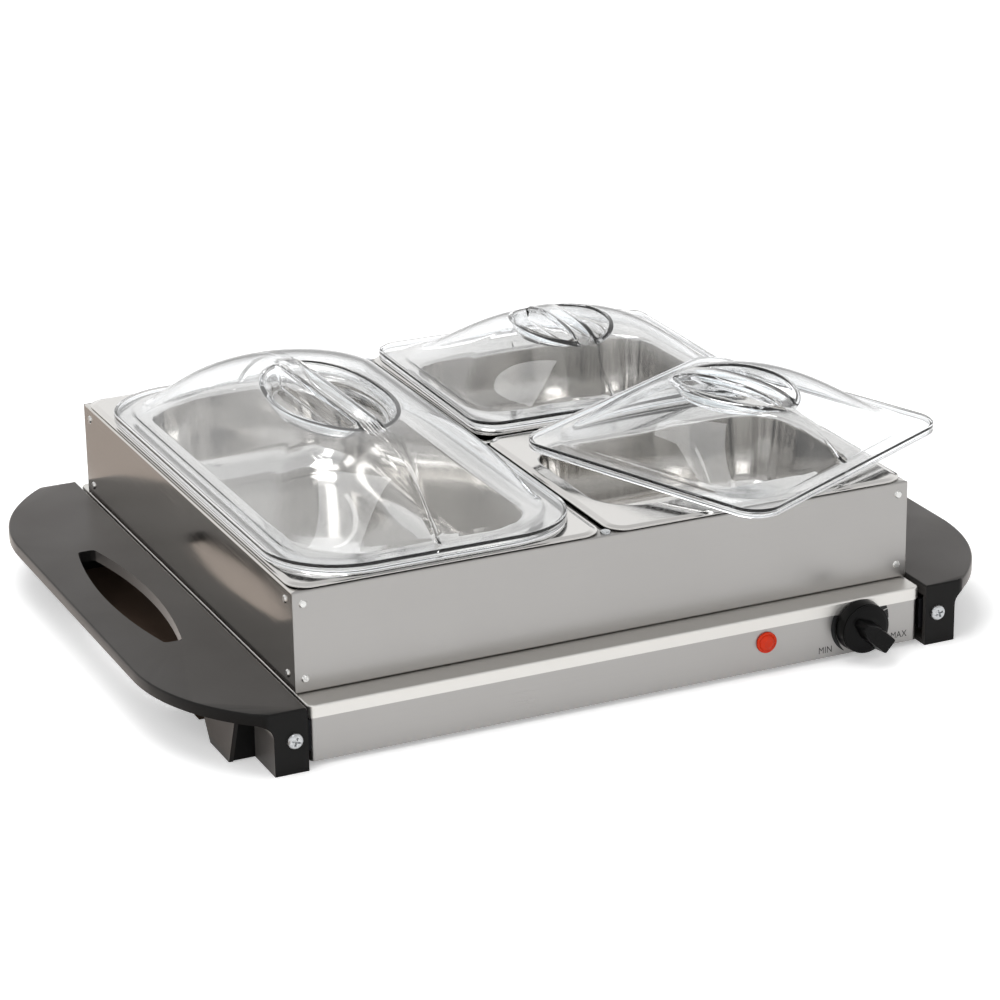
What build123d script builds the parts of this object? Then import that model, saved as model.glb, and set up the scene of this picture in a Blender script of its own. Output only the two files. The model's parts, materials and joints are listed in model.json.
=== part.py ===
from build123d import *
import os
from math import asin, atan, cos, degrees, radians, sin, sqrt

# Electric food warmer tray: a heated base between two moulded handles, a sheet frame standing on
# its plate, one large and two small pans hanging in the frame, and three clear lift-off lids.
# Millimetres, +Z up. The origin is on the ground, in the middle of the overall length and depth.

os.makedirs("parts", exist_ok=True)

# ---- sheet, seats and clearances
sheet = 0.8  # folded stainless of base and frame
seat = 0.3  # gap under a piece that only rests
slip = 0.3  # gap round a piece that drops into another
running = 0.25  # gap round a turning shaft

# ---- base: folded housing under a warming plate with a down-turned lip
base_inset = 0.25  # inside each side of the frame
base_ledge = 17.5  # beyond the frame, front and rear
base_clearance = 2.8  # underside of the housing above the ground
plate_top = 35.7
lip_height = 7.4
plate_corner = 4
plate_edge = 1.2
housing_flange = 14
cover_inset = 5
vent_length = 34
vent_width = 4
vent_pitch = 11
vent_count = 7
vent_bank_x = 95

# ---- upper frame: four folded panels riveted to corner angles
frame_width = 380
frame_depth = 350
frame_height = 58.8
frame_flange = 10
frame_foot = 8
frame_fold = 1.2
angle_leg = 15
angle_sheet = 1.2
rivet_head = 4.8
rivet_rise = 0.9
rivet_shank = 3
rivet_inset = 6
rivet_low = 8.2
rivet_high = 51.6
rivet_side = 11
rivet_lean = 35
divider_width = 7
divider_drop = 14
divider_x = -1.5
divider_screw_y = 4.5
divider_y = 0
divider_screw_head = 6
divider_screw_rise = 1.5
divider_screw_crown = 1

# ---- handle mouldings
handle_gap = 1.7  # from the frame's side to the moulding
handle_overhang = 3.5  # beyond the base, front and rear
handle_width = 66.7
handle_top = 36.9
handle_thick = 6.7
handle_skin = 3
handle_wall = 3
handle_bevel = 1
end_flat = 23.8  # straight part of each end
sweep_length = 91  # along the tray, of the long curve to the outer edge
handle_corner = 6
rib = 2
rib_inset = 11.8
rib_reach = (24, 98, 122, 150)
grip_inset = 32.9
grip_length = 154.6
grip_width = 27.3
grip_end = 10
grip_corner = 3
foot_width = 19.6
foot_length = 58.5
foot_sole = 2.5
foot_flare = 8.5
leg_inset = 33.8
leg_thick = 2.5
leg_toe = 29.4  # from the moulding's end to the leg's toe
leg_head = 8

# ---- handle fixings
ear_sheet = 1.5
ear_height = 18
ear_return = 26
screw_inset = 7.8
screw_z = 19.3
screw_head = 9.2
screw_rise = 2.4
screw_crown = 1.9  # rounding of the head
screw_shank = 4
screw_length = 11
nut_across = 7
nut_height = 3.2
recess_blade = 1.1
recess_span = 5
recess_depth = 1.4
recess_turn = 20

# ---- controls
knob_inset = 40.8  # from the frame's side
knob_z = 20.1
knob_boss = 31
knob_flange = 29.3
knob_gap = 0.6  # behind the knob, to the lip of the plate
knob_projection = 19.4  # front of the knob's bar, from the lip
knob_flange_front = 9.6
knob_grip_width = 9
knob_grip_taper = 9
knob_hollow = 25
knob_hollow_depth = 3
knob_turn = -42  # where the bar points at rest
knob_edge = 0.8
knob_mark = 4
knob_mark_depth = 0.5
shaft_depth = 12
shaft_tail = 6
shaft_diameter = 6
shaft_flat = 1.5
shaft_fit = 0.05
knob_hub = 2
shaft_way = 2  # round the shaft, in the housing
thermostat_diameter = 27
thermostat_length = 19
thermostat_front = 8
tab_thick = 0.8
tab_width = 6.3
tab_length = 8
bracket_width = 38
bracket_height = 24
bracket_sheet = 1
bracket_screw_pitch = 20
small_screw_head = 5
small_screw_rise = 0.9
small_screw_shank = 3
lamp_pitch = 59.9  # from the knob
lamp_z = 19.8
lamp_bezel = 12.6
lamp_bezel_rise = 1.6
lamp_bezel_edge = 0.8
lamp_barrel = 10
lamp_length = 22
lamp_wall = 1.2
lamp_depth = 8
lamp_plug = 3
lens_diameter = 9.4
lens_rise = 3
lens_lean = 30
lamp_nut_across = 14
lamp_nut_height = 2.5

# ---- heating
element_diameter = 6.5
element_bend = 22
element_gap = 0.2
terminal_x = 20
terminal_pitch = 40
element_margin = 35  # from the frame's sides to the outer runs
element_end = 25  # from the frame's ends to the rear bends and the terminals
element_setback = 70  # from the frame's front to the front run
element_inner = -40
clip_setback = 30
clip_lead = 45
reflector_corner = 8
fuse_strap = 16
block_port = 5
block_ports = 3
clip_width = 12
clip_foot = 8
clip_sheet = 0.8
reflector_side = 24.75  # inside the base's sides
reflector_end = 47.5
reflector_sheet = 0.5
reflector_rim = 5
reflector_y = 8
pad_thick = 7
pad_inset = 6
post_diameter = 6
post_inset = 18
fuse_diameter = 5
fuse_length = 22
fuse_y = 40
block_length = 34
block_width = 18
block_height = 14
block_x = -70
gland_inset = 70
gland_z = 16
gland_flange = 22
gland_neck = 15.5
gland_bore = 7
gland_rise = 3

# ---- pans: pressed sheet with a raised flange inside a narrow edge band
pan_sheet = 0.7
pan_step = 2
pan_band = 1.6
pan_slope = 2.6
pan_corner = 13
pan_depth = 55
pan_draft = 6
pan_bottom = 18
rim_gap = 4  # between neighbouring rims, over a divider
rim_inset = 0.5  # inside the frame's sides
well_side = 13  # flange beside the small pans' wells
well_end = 30.5
well_corner = 28
large_well_side = 25.5
large_well_end = 29.5
large_well_corner = 34

# ---- lids: clear mouldings with a lip, a flat band and a pillow dome
lid_wall = 2.2
lid_lip = 5.1
lid_edge = 1
small_lid_side = 0.65  # inside the pan's rim
small_lid_over = 0.8  # beyond the pan's rim, front and rear
small_lid_corner = 17
small_lid_band = 10
small_lid_rise = 31.5
small_dome_corner = 30
small_dome_powers = (2.8, 2.5)
small_grip_x = 28
small_grip_y = 39.5
large_lid_side = 3.3
large_lid_end = 7.75
large_lid_corner = 46
large_lid_band = 11
large_lid_rise = 39
large_dome_corner = 38
large_dome_powers = (4, 5)
large_grip_x = 31.9
large_grip_y = 66.7
dome_shares = (0, 0.08, 0.2, 0.4, 0.6, 0.75, 0.87, 0.95, 0.985)
finger_bar = 14
finger_rise = 1
finger_depth = 10
finger_corner = 3

# ---- how the lids lie: the front small lid is left askew across its pan
rear_lid_turn = -1
rear_lid_x = 2.1
rear_lid_y = 2.3
large_lid_x = -1.1
large_lid_y = -4
askew_x = 29.9
askew_y = 4.6
askew_turn = (2.6, -1.2, 26)
askew_gap = 0.5  # height between the leaning lid and the one it rests on
rest_steps = 30  # halvings in the search for the rear lid's height
rest_points = 160  # places round the foot where it is tried

# ---- sizes and places that follow
base_width = frame_width - 2 * base_inset
base_depth = frame_depth + 2 * base_ledge
handle_length = base_depth + 2 * handle_overhang
plate_under = plate_top - sheet
lip_front = base_depth / 2
panel_front = lip_front - sheet
knob_reach = lip_front + knob_gap + knob_projection
centre_y = (knob_reach - handle_length / 2 - screw_rise) / 2
frame_bottom = plate_top + seat
frame_top = frame_bottom + frame_height
handle_inner = frame_width / 2 + handle_gap
handle_reach = handle_inner + handle_width
handle_under = handle_top - handle_thick
pan_face = frame_top + seat + pan_step
lid_face = pan_face + seat
rim_start = divider_x + rim_gap / 2
pan_width = frame_width / 2 - rim_inset - rim_start
pan_length = (frame_depth - rim_gap) / 2
large_width = frame_width / 2 - rim_inset + divider_x - rim_gap / 2
large_length = frame_depth - 2 * rim_inset
small_pan_x = rim_start + pan_width / 2
small_pan_y = (frame_depth - pan_length) / 2
large_pan_x = divider_x - rim_gap / 2 - large_width / 2
small_lid_width = pan_width - 2 * small_lid_side
small_lid_length = pan_length + 2 * small_lid_over
large_lid_width = large_width - 2 * large_lid_side
large_lid_length = large_length - 2 * large_lid_end
screw_x = handle_inner + screw_inset
knob_x = frame_width / 2 - knob_inset
lamp_x = knob_x - lamp_pitch
gland_x = gland_inset - frame_width / 2
reflector_width = base_width - 2 * reflector_side
reflector_depth = base_depth - 2 * reflector_end


def level(z):
    """A horizontal plane through the middle of the tray."""
    return Plane((0, centre_y, z), x_dir=(1, 0, 0), z_dir=(0, 0, 1))


def front(y):
    """A plane parallel to the front, drawn as seen from the front: x along X, y along Z."""
    return Plane((0, centre_y + y, 0), x_dir=(1, 0, 0), z_dir=(0, -1, 0))


def side(x):
    """A plane parallel to the sides: x along Y, y along Z, facing +X."""
    return Plane((x, centre_y, 0), x_dir=(0, 1, 0), z_dir=(1, 0, 0))


def save(part, name):
    part.label = name
    export_step(part, f"parts/{name}.step")


# ---------------------------------------------------------------- base housing and warming plate
with BuildPart() as housing:
    with BuildSketch(level(base_clearance)):
        RectangleRounded(base_width - 2 * sheet, base_depth - 2 * sheet, plate_corner - sheet)
    extrude(amount=plate_under - base_clearance)
    with BuildSketch(level(base_clearance + sheet)):
        RectangleRounded(base_width - 4 * sheet, base_depth - 4 * sheet, plate_corner - 2 * sheet)
    extrude(amount=plate_under, mode=Mode.SUBTRACT)
    with BuildSketch(level(base_clearance)):
        Rectangle(base_width - 2 * housing_flange, base_depth - 2 * housing_flange)
    extrude(amount=sheet, mode=Mode.SUBTRACT)
    with BuildSketch(front(-panel_front)):
        with Locations((knob_x, knob_z)):
            Circle(shaft_diameter / 2 + shaft_way)
        with Locations((lamp_x, lamp_z)):
            Circle(lamp_barrel / 2 + shaft_fit)
        with Locations(
            (knob_x - bracket_screw_pitch / 2, knob_z),
            (knob_x + bracket_screw_pitch / 2, knob_z),
        ):
            Circle(small_screw_shank / 2)
    extrude(amount=-sheet, mode=Mode.SUBTRACT)
    with BuildSketch(front(panel_front)):
        with Locations((gland_x, gland_z)):
            Circle(gland_neck / 2)
    extrude(amount=sheet, mode=Mode.SUBTRACT)
save(housing.part, "base_housing")

with BuildPart() as plate:
    with BuildSketch(level(plate_top - lip_height)):
        RectangleRounded(base_width, base_depth, plate_corner)
    extrude(amount=lip_height)
    fillet(plate.faces().sort_by(Axis.Z)[-1].edges(), plate_edge)
    with BuildSketch(level(plate_top - lip_height)):
        RectangleRounded(base_width - 2 * sheet, base_depth - 2 * sheet, plate_corner - sheet)
    extrude(amount=lip_height - sheet, mode=Mode.SUBTRACT)
save(plate.part, "warming_plate")

# ---- bottom cover with two banks of vents, screwed to the housing's flange
cover_width = base_width - 2 * sheet - 2 * cover_inset
cover_depth = base_depth - 2 * sheet - 2 * cover_inset
cover_screw_x = base_width / 2 - (housing_flange + cover_inset + sheet) / 2
cover_screw_y = base_depth / 2 - (housing_flange + cover_inset + sheet) / 2
with BuildPart() as cover:
    with BuildSketch(level(base_clearance)):
        RectangleRounded(cover_width, cover_depth, plate_corner)
        with Locations((-vent_bank_x, 0), (vent_bank_x, 0)):
            with GridLocations(0, vent_pitch, 1, vent_count):
                SlotOverall(vent_length, vent_width, mode=Mode.SUBTRACT)
    extrude(amount=-sheet)
save(cover.part, "bottom_cover")

with BuildPart() as cover_screws:
    with BuildSketch(level(base_clearance - sheet)):
        with GridLocations(2 * cover_screw_x, 2 * cover_screw_y, 2, 2):
            Circle(small_screw_head / 2)
    extrude(amount=-small_screw_rise)
save(cover_screws.part, "cover_screws")

# ---------------------------------------------------------------- handle mouldings
handle_end = handle_length / 2
handle_straight = handle_end - sweep_length
corner_x = handle_inner + end_flat
sweep_in = handle_width - end_flat
handle_sweep = (sweep_in**2 + sweep_length**2) / (2 * sweep_in)
sweep_half = asin(sweep_length / handle_sweep) / 2
sweep_x = handle_reach - handle_sweep * (1 - cos(sweep_half))
sweep_y = handle_straight + handle_sweep * sin(sweep_half)

with BuildSketch(level(0)) as handle_outline:
    with BuildLine():
        Line((handle_inner, -handle_end), (corner_x, -handle_end))
        ThreePointArc(
            (corner_x, -handle_end), (sweep_x, -sweep_y), (handle_reach, -handle_straight)
        )
        Line((handle_reach, -handle_straight), (handle_reach, handle_straight))
        ThreePointArc(
            (handle_reach, handle_straight), (sweep_x, sweep_y), (corner_x, handle_end)
        )
        Line((corner_x, handle_end), (handle_inner, handle_end))
        Line((handle_inner, handle_end), (handle_inner, -handle_end))
    make_face()
    fillet(
        handle_outline.vertices().filter_by_position(Axis.X, corner_x - slip, corner_x + slip),
        handle_corner,
    )

grip_x = handle_inner + grip_inset
with BuildSketch(level(0)) as grip_outline:
    with BuildLine():
        ThreePointArc(
            (grip_x - grip_end / 2, -grip_length / 2),
            (grip_x - grip_width / 2, 0),
            (grip_x - grip_end / 2, grip_length / 2),
        )
        Line(
            (grip_x - grip_end / 2, grip_length / 2),
            (grip_x + grip_end / 2, grip_length / 2),
        )
        ThreePointArc(
            (grip_x + grip_end / 2, grip_length / 2),
            (grip_x + grip_width / 2, 0),
            (grip_x + grip_end / 2, -grip_length / 2),
        )
        Line(
            (grip_x + grip_end / 2, -grip_length / 2),
            (grip_x - grip_end / 2, -grip_length / 2),
        )
    make_face()
    fillet(grip_outline.vertices(), grip_corner)

# One foot column, open toward the base, with its side wall flaring into the plate above it.
column_outer = handle_inner + foot_width
leg_x = handle_inner + leg_inset
with BuildPart() as column:
    with BuildSketch(front(-handle_end)):
        with BuildLine():
            Line((handle_inner, 0), (column_outer, 0))
            Line((column_outer, 0), (column_outer, handle_under - foot_flare))
            RadiusArc(
                (column_outer, handle_under - foot_flare),
                (column_outer + foot_flare, handle_under),
                foot_flare,
            )
            Line((column_outer + foot_flare, handle_under), (handle_inner, handle_under))
            Line((handle_inner, handle_under), (handle_inner, 0))
        make_face()
    extrude(amount=-foot_length)
    with BuildSketch(level(foot_sole)):
        with Locations((handle_inner, -handle_end + handle_wall)):
            Rectangle(
                foot_width - handle_wall,
                foot_length - 2 * handle_wall,
                align=(Align.MIN, Align.MIN),
            )
    extrude(amount=handle_top, mode=Mode.SUBTRACT)
    with BuildSketch(level(0)):
        add(handle_outline.sketch_local)
    extrude(amount=handle_under, mode=Mode.INTERSECT)

with BuildPart() as leg:
    with BuildSketch(side(leg_x - leg_thick / 2)):
        Polygon(
            (-handle_end + leg_toe, 0),
            (-handle_end + foot_length, 0),
            (-handle_end + foot_length + leg_toe - leg_head, handle_under),
            (-handle_end + leg_head, handle_under),
            align=None,
        )
    extrude(amount=leg_thick)
    with BuildSketch(front(-handle_end + foot_length)):
        with Locations((column_outer - handle_wall / 2, 0)):
            Rectangle(
                leg_x - column_outer + handle_wall / 2,
                handle_under,
                align=(Align.MIN, Align.MIN),
            )
    extrude(amount=leg_thick)

middle = Plane.XZ.offset(-centre_y)
with BuildPart() as handle_right:
    with BuildSketch(level(handle_under)):
        add(handle_outline.sketch_local)
    extrude(amount=handle_thick)
    chamfer(handle_right.faces().sort_by(Axis.Z)[-1].edges(), handle_bevel)
    with BuildSketch(level(handle_under)):
        offset(handle_outline.sketch_local, amount=-handle_wall, mode=Mode.ADD)
    extrude(amount=handle_thick - handle_skin, mode=Mode.SUBTRACT)
    with BuildSketch(level(handle_under)):
        with Locations((handle_inner + rib_inset, 0)):
            Rectangle(rib, handle_length)
        for reach in rib_reach:
            with Locations((handle_reach, -reach), (handle_reach, reach)):
                Rectangle(handle_width, rib, align=(Align.MAX, Align.CENTER))
        add(handle_outline.sketch_local, mode=Mode.INTERSECT)
        offset(grip_outline.sketch_local, amount=handle_wall, mode=Mode.ADD)
    extrude(amount=handle_thick - handle_skin)
    add(column.part)
    add(leg.part)
    mirror(column.part, about=middle)
    mirror(leg.part, about=middle)
    with BuildSketch(level(0)):
        add(grip_outline.sketch_local)
    extrude(amount=handle_top, mode=Mode.SUBTRACT)
    with BuildSketch(front(-handle_end)):
        with Locations((screw_x, screw_z)):
            Circle(screw_shank / 2 + running)
    extrude(amount=-handle_length, mode=Mode.SUBTRACT)
save(handle_right.part, "handle_right")

with BuildPart() as handle_left:
    mirror(handle_right.part, about=Plane.YZ)
save(handle_left.part, "handle_left")

# ---- angle brackets on the housing's corners, which take the handle screws
ear_front = handle_end - handle_wall
ear_inner = base_width / 2 - sheet
with BuildPart() as brackets:
    with BuildSketch(level(screw_z - ear_height / 2)):
        with Locations((ear_inner, -ear_front)):
            Rectangle(
                column_outer - handle_wall - slip - ear_inner,
                ear_sheet,
                align=(Align.MIN, Align.MIN),
            )
            Rectangle(ear_sheet, ear_return, align=(Align.MIN, Align.MIN))
    extrude(amount=ear_height)
    with BuildSketch(front(-ear_front)):
        with Locations((screw_x, screw_z)):
            Circle(screw_shank / 2 + running)
    extrude(amount=-ear_sheet, mode=Mode.SUBTRACT)
    mirror(about=Plane.YZ)
    mirror(about=middle)
save(brackets.part, "handle_brackets")

with BuildPart() as handle_screws:
    with BuildSketch(front(-handle_end)):
        with Locations((screw_x, screw_z)):
            Circle(screw_head / 2)
    extrude(amount=screw_rise)
    fillet(handle_screws.faces().sort_by(Axis.Y)[0].edges(), screw_crown)
    with BuildSketch(front(-handle_end - screw_rise)):
        with Locations((screw_x, screw_z)):
            Rectangle(recess_span, recess_blade, rotation=recess_turn)
            Rectangle(recess_blade, recess_span, rotation=recess_turn)
    extrude(amount=-recess_depth, mode=Mode.SUBTRACT)
    with BuildSketch(front(-handle_end)):
        with Locations((screw_x, screw_z)):
            Circle(screw_shank / 2)
    extrude(amount=-screw_length)
    mirror(about=Plane.YZ)
    mirror(about=middle)
save(handle_screws.part, "handle_screws")

with BuildPart() as handle_nuts:
    with BuildSketch(front(-ear_front + ear_sheet)):
        with Locations((screw_x, screw_z)):
            RegularPolygon(nut_across / 2, 6, major_radius=False)
            Circle(screw_shank / 2 + shaft_fit, mode=Mode.SUBTRACT)
    extrude(amount=-nut_height)
    mirror(about=Plane.YZ)
    mirror(about=middle)
save(handle_nuts.part, "handle_nuts")

# ---------------------------------------------------------------- knob, thermostat and lamp
knob_back = lip_front + knob_gap
bar_start = knob_back + knob_flange_front
knob_front = knob_back + knob_projection
bar_end = sqrt(knob_flange**2 - knob_grip_width**2) - knob_edge
knob_lean = degrees(atan((knob_boss - knob_flange) / 2 / knob_flange_front))
knob_axis = Location((knob_x, knob_z, 0), (0, 0, knob_turn))
with BuildPart() as knob:
    with BuildSketch(front(-knob_back)):
        with Locations(knob_axis):
            Circle(knob_boss / 2)
    extrude(amount=knob_flange_front, taper=knob_lean)
    fillet(knob.faces().sort_by(Axis.Y)[0].edges(), knob_edge)
    with BuildSketch(front(-bar_start)):
        with Locations(knob_axis):
            Rectangle(bar_end, knob_grip_width)
    extrude(amount=knob_front - bar_start, taper=knob_grip_taper)
    fillet(knob.faces().sort_by(Axis.Y)[0].edges(), knob_edge)
    with BuildSketch(front(-knob_front)):
        with Locations(knob_axis):
            Circle(knob_mark / 2)
    extrude(amount=-knob_mark_depth, mode=Mode.SUBTRACT)
    with BuildSketch(front(-knob_back)):
        with Locations(knob_axis):
            Circle(knob_hollow / 2)
            Circle(shaft_diameter / 2 + knob_hub, mode=Mode.SUBTRACT)
    extrude(amount=knob_hollow_depth, mode=Mode.SUBTRACT)
    with BuildSketch(front(-knob_back)):
        with Locations(knob_axis):
            Circle(shaft_diameter / 2 + shaft_fit)
            with Locations((0, shaft_diameter / 2 - shaft_flat + shaft_fit)):
                Rectangle(
                    shaft_diameter * 2,
                    shaft_diameter,
                    align=(Align.CENTER, Align.MIN),
                    mode=Mode.SUBTRACT,
                )
    extrude(amount=shaft_depth, mode=Mode.SUBTRACT)
save(knob.part, "knob")

bracket_back = panel_front - sheet - bracket_sheet
with BuildPart() as shaft:
    with BuildSketch(front(-bracket_back + shaft_tail)):
        with Locations(knob_axis):
            Circle(shaft_diameter / 2)
            with Locations((0, shaft_diameter / 2 - shaft_flat)):
                Rectangle(
                    shaft_diameter * 2,
                    shaft_diameter,
                    align=(Align.CENTER, Align.MIN),
                    mode=Mode.SUBTRACT,
                )
    extrude(amount=knob_back + shaft_depth - slip - bracket_back + shaft_tail)
save(shaft.part, "thermostat_shaft")

with BuildPart() as thermostat_bracket:
    with BuildSketch(front(-panel_front + sheet)):
        with Locations((knob_x, knob_z)):
            Rectangle(bracket_width, bracket_height)
            Circle(shaft_diameter / 2 + running, mode=Mode.SUBTRACT)
            with GridLocations(bracket_screw_pitch, 0, 2, 1):
                Circle(small_screw_shank / 2, mode=Mode.SUBTRACT)
    extrude(amount=-bracket_sheet)
save(thermostat_bracket.part, "thermostat_bracket")

with BuildPart() as thermostat_screws:
    with BuildSketch(front(-panel_front)):
        with Locations((knob_x, knob_z)):
            with GridLocations(bracket_screw_pitch, 0, 2, 1):
                Circle(small_screw_head / 2)
    extrude(amount=small_screw_rise)
    with BuildSketch(front(-panel_front)):
        with Locations((knob_x, knob_z)):
            with GridLocations(bracket_screw_pitch, 0, 2, 1):
                Circle(small_screw_shank / 2 - shaft_fit)
    extrude(amount=-sheet - bracket_sheet)
save(thermostat_screws.part, "thermostat_screws")

with BuildPart() as thermostat:
    with BuildSketch(front(-bracket_back)):
        with Locations((knob_x, knob_z)):
            Circle(thermostat_diameter / 2)
            Circle(shaft_diameter / 2 + running, mode=Mode.SUBTRACT)
    extrude(amount=-thermostat_front)
    with BuildSketch(front(-bracket_back + thermostat_front)):
        with Locations((knob_x, knob_z)):
            Circle(thermostat_diameter / 2)
    extrude(amount=thermostat_front - thermostat_length)
    fillet(thermostat.faces().sort_by(Axis.Y)[-1].edges(), knob_edge)
    with BuildSketch(front(-bracket_back + thermostat_length)):
        with Locations((knob_x, knob_z)):
            with GridLocations(bracket_screw_pitch / 2, 0, 2, 1):
                Rectangle(tab_thick, tab_width)
    extrude(amount=-tab_length)
save(thermostat.part, "thermostat_body")

with BuildPart() as lamp_body:
    with BuildSketch(front(-panel_front)):
        with Locations((lamp_x, lamp_z)):
            Circle(lamp_barrel / 2)
    extrude(amount=-lamp_length)
    with BuildSketch(front(-panel_front)):
        with Locations((lamp_x, lamp_z)):
            Circle(lamp_barrel / 2 - lamp_wall)
    extrude(amount=-lamp_depth, mode=Mode.SUBTRACT)
    with BuildSketch(front(-panel_front + lamp_length)):
        with Locations((lamp_x, lamp_z)):
            with GridLocations(lamp_barrel / 2, 0, 2, 1):
                Rectangle(tab_thick, tab_width / 2)
    extrude(amount=-tab_length)
save(lamp_body.part, "lamp_body")

# The lens has a round bezel of its own and plugs into the body.
with BuildPart() as lamp_lens:
    with BuildSketch(front(-panel_front)):
        with Locations((lamp_x, lamp_z)):
            Circle(lamp_bezel / 2)
    extrude(amount=lamp_bezel_rise)
    fillet(lamp_lens.faces().sort_by(Axis.Y)[0].edges(), lamp_bezel_edge)
    with BuildSketch(front(-panel_front - lamp_bezel_rise)):
        with Locations((lamp_x, lamp_z)):
            Circle(lens_diameter / 2)
    extrude(amount=lens_rise - lamp_bezel_rise, taper=lens_lean)
    with BuildSketch(front(-panel_front)):
        with Locations((lamp_x, lamp_z)):
            Circle(lamp_barrel / 2 - lamp_wall - shaft_fit)
    extrude(amount=-lamp_plug)
save(lamp_lens.part, "lamp_lens")

with BuildPart() as lamp_nut:
    with BuildSketch(front(-panel_front + sheet)):
        with Locations((lamp_x, lamp_z)):
            RegularPolygon(lamp_nut_across / 2, 6, major_radius=False)
            Circle(lamp_barrel / 2, mode=Mode.SUBTRACT)
    extrude(amount=-lamp_nut_height)
save(lamp_nut.part, "lamp_nut")

# ---------------------------------------------------------------- heating
element_z = plate_under - element_gap - element_diameter / 2
element_x = frame_width / 2 - element_margin
element_fold = element_x / 3
element_front = element_setback - frame_depth / 2
element_rear = frame_depth / 2 - element_end
terminal_y = -element_rear
element_route = (
    (terminal_x + terminal_pitch, terminal_y),
    (terminal_x + terminal_pitch, element_front),
    (element_x, element_front),
    (element_x, element_rear),
    (element_fold, element_rear),
    (element_fold, element_inner),
    (-element_fold, element_inner),
    (-element_fold, element_rear),
    (-element_x, element_rear),
    (-element_x, element_front),
    (terminal_x, element_front),
    (terminal_x, terminal_y),
)
with BuildPart() as element:
    with BuildLine(level(element_z)):
        FilletPolyline(*element_route, radius=element_bend)
    with BuildSketch(front(terminal_y)):
        with Locations((terminal_x, element_z), (terminal_x + terminal_pitch, element_z)):
            Circle(element_diameter / 2)
    sweep(sections=element.pending_faces[0])
save(element.part, "heating_element")

# Saddle clips hold the element's long runs under the plate.
saddle_inner = element_diameter / 2 + element_gap
saddle_outer = saddle_inner + clip_sheet
with BuildPart() as clips:
    for run_x in (-element_x, -element_fold, element_fold, element_x):
        for run_y in (element_inner + clip_setback, element_rear - clip_lead):
            with BuildSketch(front(run_y)):
                with Locations((run_x, element_z)):
                    Circle(saddle_outer)
                    Rectangle(
                        2 * saddle_outer,
                        plate_under - element_z,
                        align=(Align.CENTER, Align.MIN),
                    )
                with Locations((run_x, plate_under)):
                    Rectangle(
                        2 * (saddle_outer + clip_foot),
                        clip_sheet,
                        align=(Align.CENTER, Align.MAX),
                    )
                with Locations((run_x, element_z)):
                    Circle(saddle_inner, mode=Mode.SUBTRACT)
                    Rectangle(
                        2 * saddle_inner,
                        2 * saddle_outer,
                        align=(Align.CENTER, Align.MIN),
                        mode=Mode.SUBTRACT,
                    )
            extrude(amount=clip_width / 2, both=True)
save(clips.part, "element_clips")

pad_bottom = base_clearance
reflector_under = pad_bottom + pad_thick
with BuildPart() as reflector:
    with BuildSketch(level(reflector_under)):
        with Locations((0, reflector_y)):
            RectangleRounded(reflector_width, reflector_depth, reflector_corner)
    extrude(amount=reflector_rim)
    with BuildSketch(level(reflector_under + reflector_sheet)):
        with Locations((0, reflector_y)):
            RectangleRounded(
                reflector_width - 2 * reflector_sheet,
                reflector_depth - 2 * reflector_sheet,
                reflector_corner - reflector_sheet,
            )
    extrude(amount=reflector_rim, mode=Mode.SUBTRACT)
save(reflector.part, "reflector")

with BuildPart() as pad:
    with BuildSketch(level(pad_bottom)):
        with Locations((0, reflector_y)):
            Rectangle(reflector_width - 2 * pad_inset, reflector_depth - 2 * pad_inset)
    extrude(amount=pad_thick)
save(pad.part, "insulation_pad")

with BuildPart() as posts:
    with BuildSketch(level(reflector_under + reflector_sheet)):
        with Locations((0, reflector_y)):
            with GridLocations(
                reflector_width - 2 * post_inset, reflector_depth - 2 * post_inset, 2, 2
            ):
                Circle(post_diameter / 2)
    extrude(amount=plate_under - reflector_under - reflector_sheet)
save(posts.part, "reflector_posts")

fuse_x = -(element_x + element_fold) / 2
with BuildPart() as fuse:
    with BuildSketch(side(fuse_x)):
        with Locations((fuse_y, plate_under - fuse_diameter / 2)):
            Circle(fuse_diameter / 2)
    extrude(amount=fuse_length / 2, both=True)
    with BuildSketch(side(fuse_x)):
        with Locations((fuse_y, plate_under)):
            Rectangle(fuse_strap, clip_sheet, align=(Align.CENTER, Align.MAX))
    extrude(amount=clip_width / 2, both=True)
save(fuse.part, "thermal_fuse")

with BuildPart() as terminal_block:
    with BuildSketch(level(base_clearance + sheet)):
        with Locations((block_x, panel_front - sheet - block_width / 2)):
            Rectangle(block_length, block_width)
    extrude(amount=block_height)
    with BuildSketch(level(base_clearance + sheet + block_height)):
        with Locations((block_x, panel_front - sheet - block_width / 2)):
            with GridLocations(block_length / block_ports, 0, block_ports, 1):
                Circle(block_port / 2)
    extrude(amount=-block_height / 2, mode=Mode.SUBTRACT)
save(terminal_block.part, "terminal_block")

# Gland in the rear wall, where the supply enters.
with BuildPart() as gland:
    with BuildSketch(front(panel_front)):
        with Locations((gland_x, gland_z)):
            Circle(gland_flange / 2)
    extrude(amount=-gland_rise)
    fillet(gland.faces().sort_by(Axis.Y)[-1].edges(), gland_rise / 2)
    with BuildSketch(front(panel_front)):
        with Locations((gland_x, gland_z)):
            Circle(gland_neck / 2 - shaft_fit)
    extrude(amount=sheet)
    with BuildSketch(front(panel_front - sheet)):
        with Locations((gland_x, gland_z)):
            Circle(gland_flange / 2)
    extrude(amount=gland_rise)
    with BuildSketch(front(panel_front + gland_rise)):
        with Locations((gland_x, gland_z)):
            Circle(gland_bore / 2)
    extrude(amount=sheet + 2 * gland_rise, mode=Mode.SUBTRACT)
save(gland.part, "cord_gland")

# ---------------------------------------------------------------- upper frame
half_width = frame_width / 2
half_depth = frame_depth / 2


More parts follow.
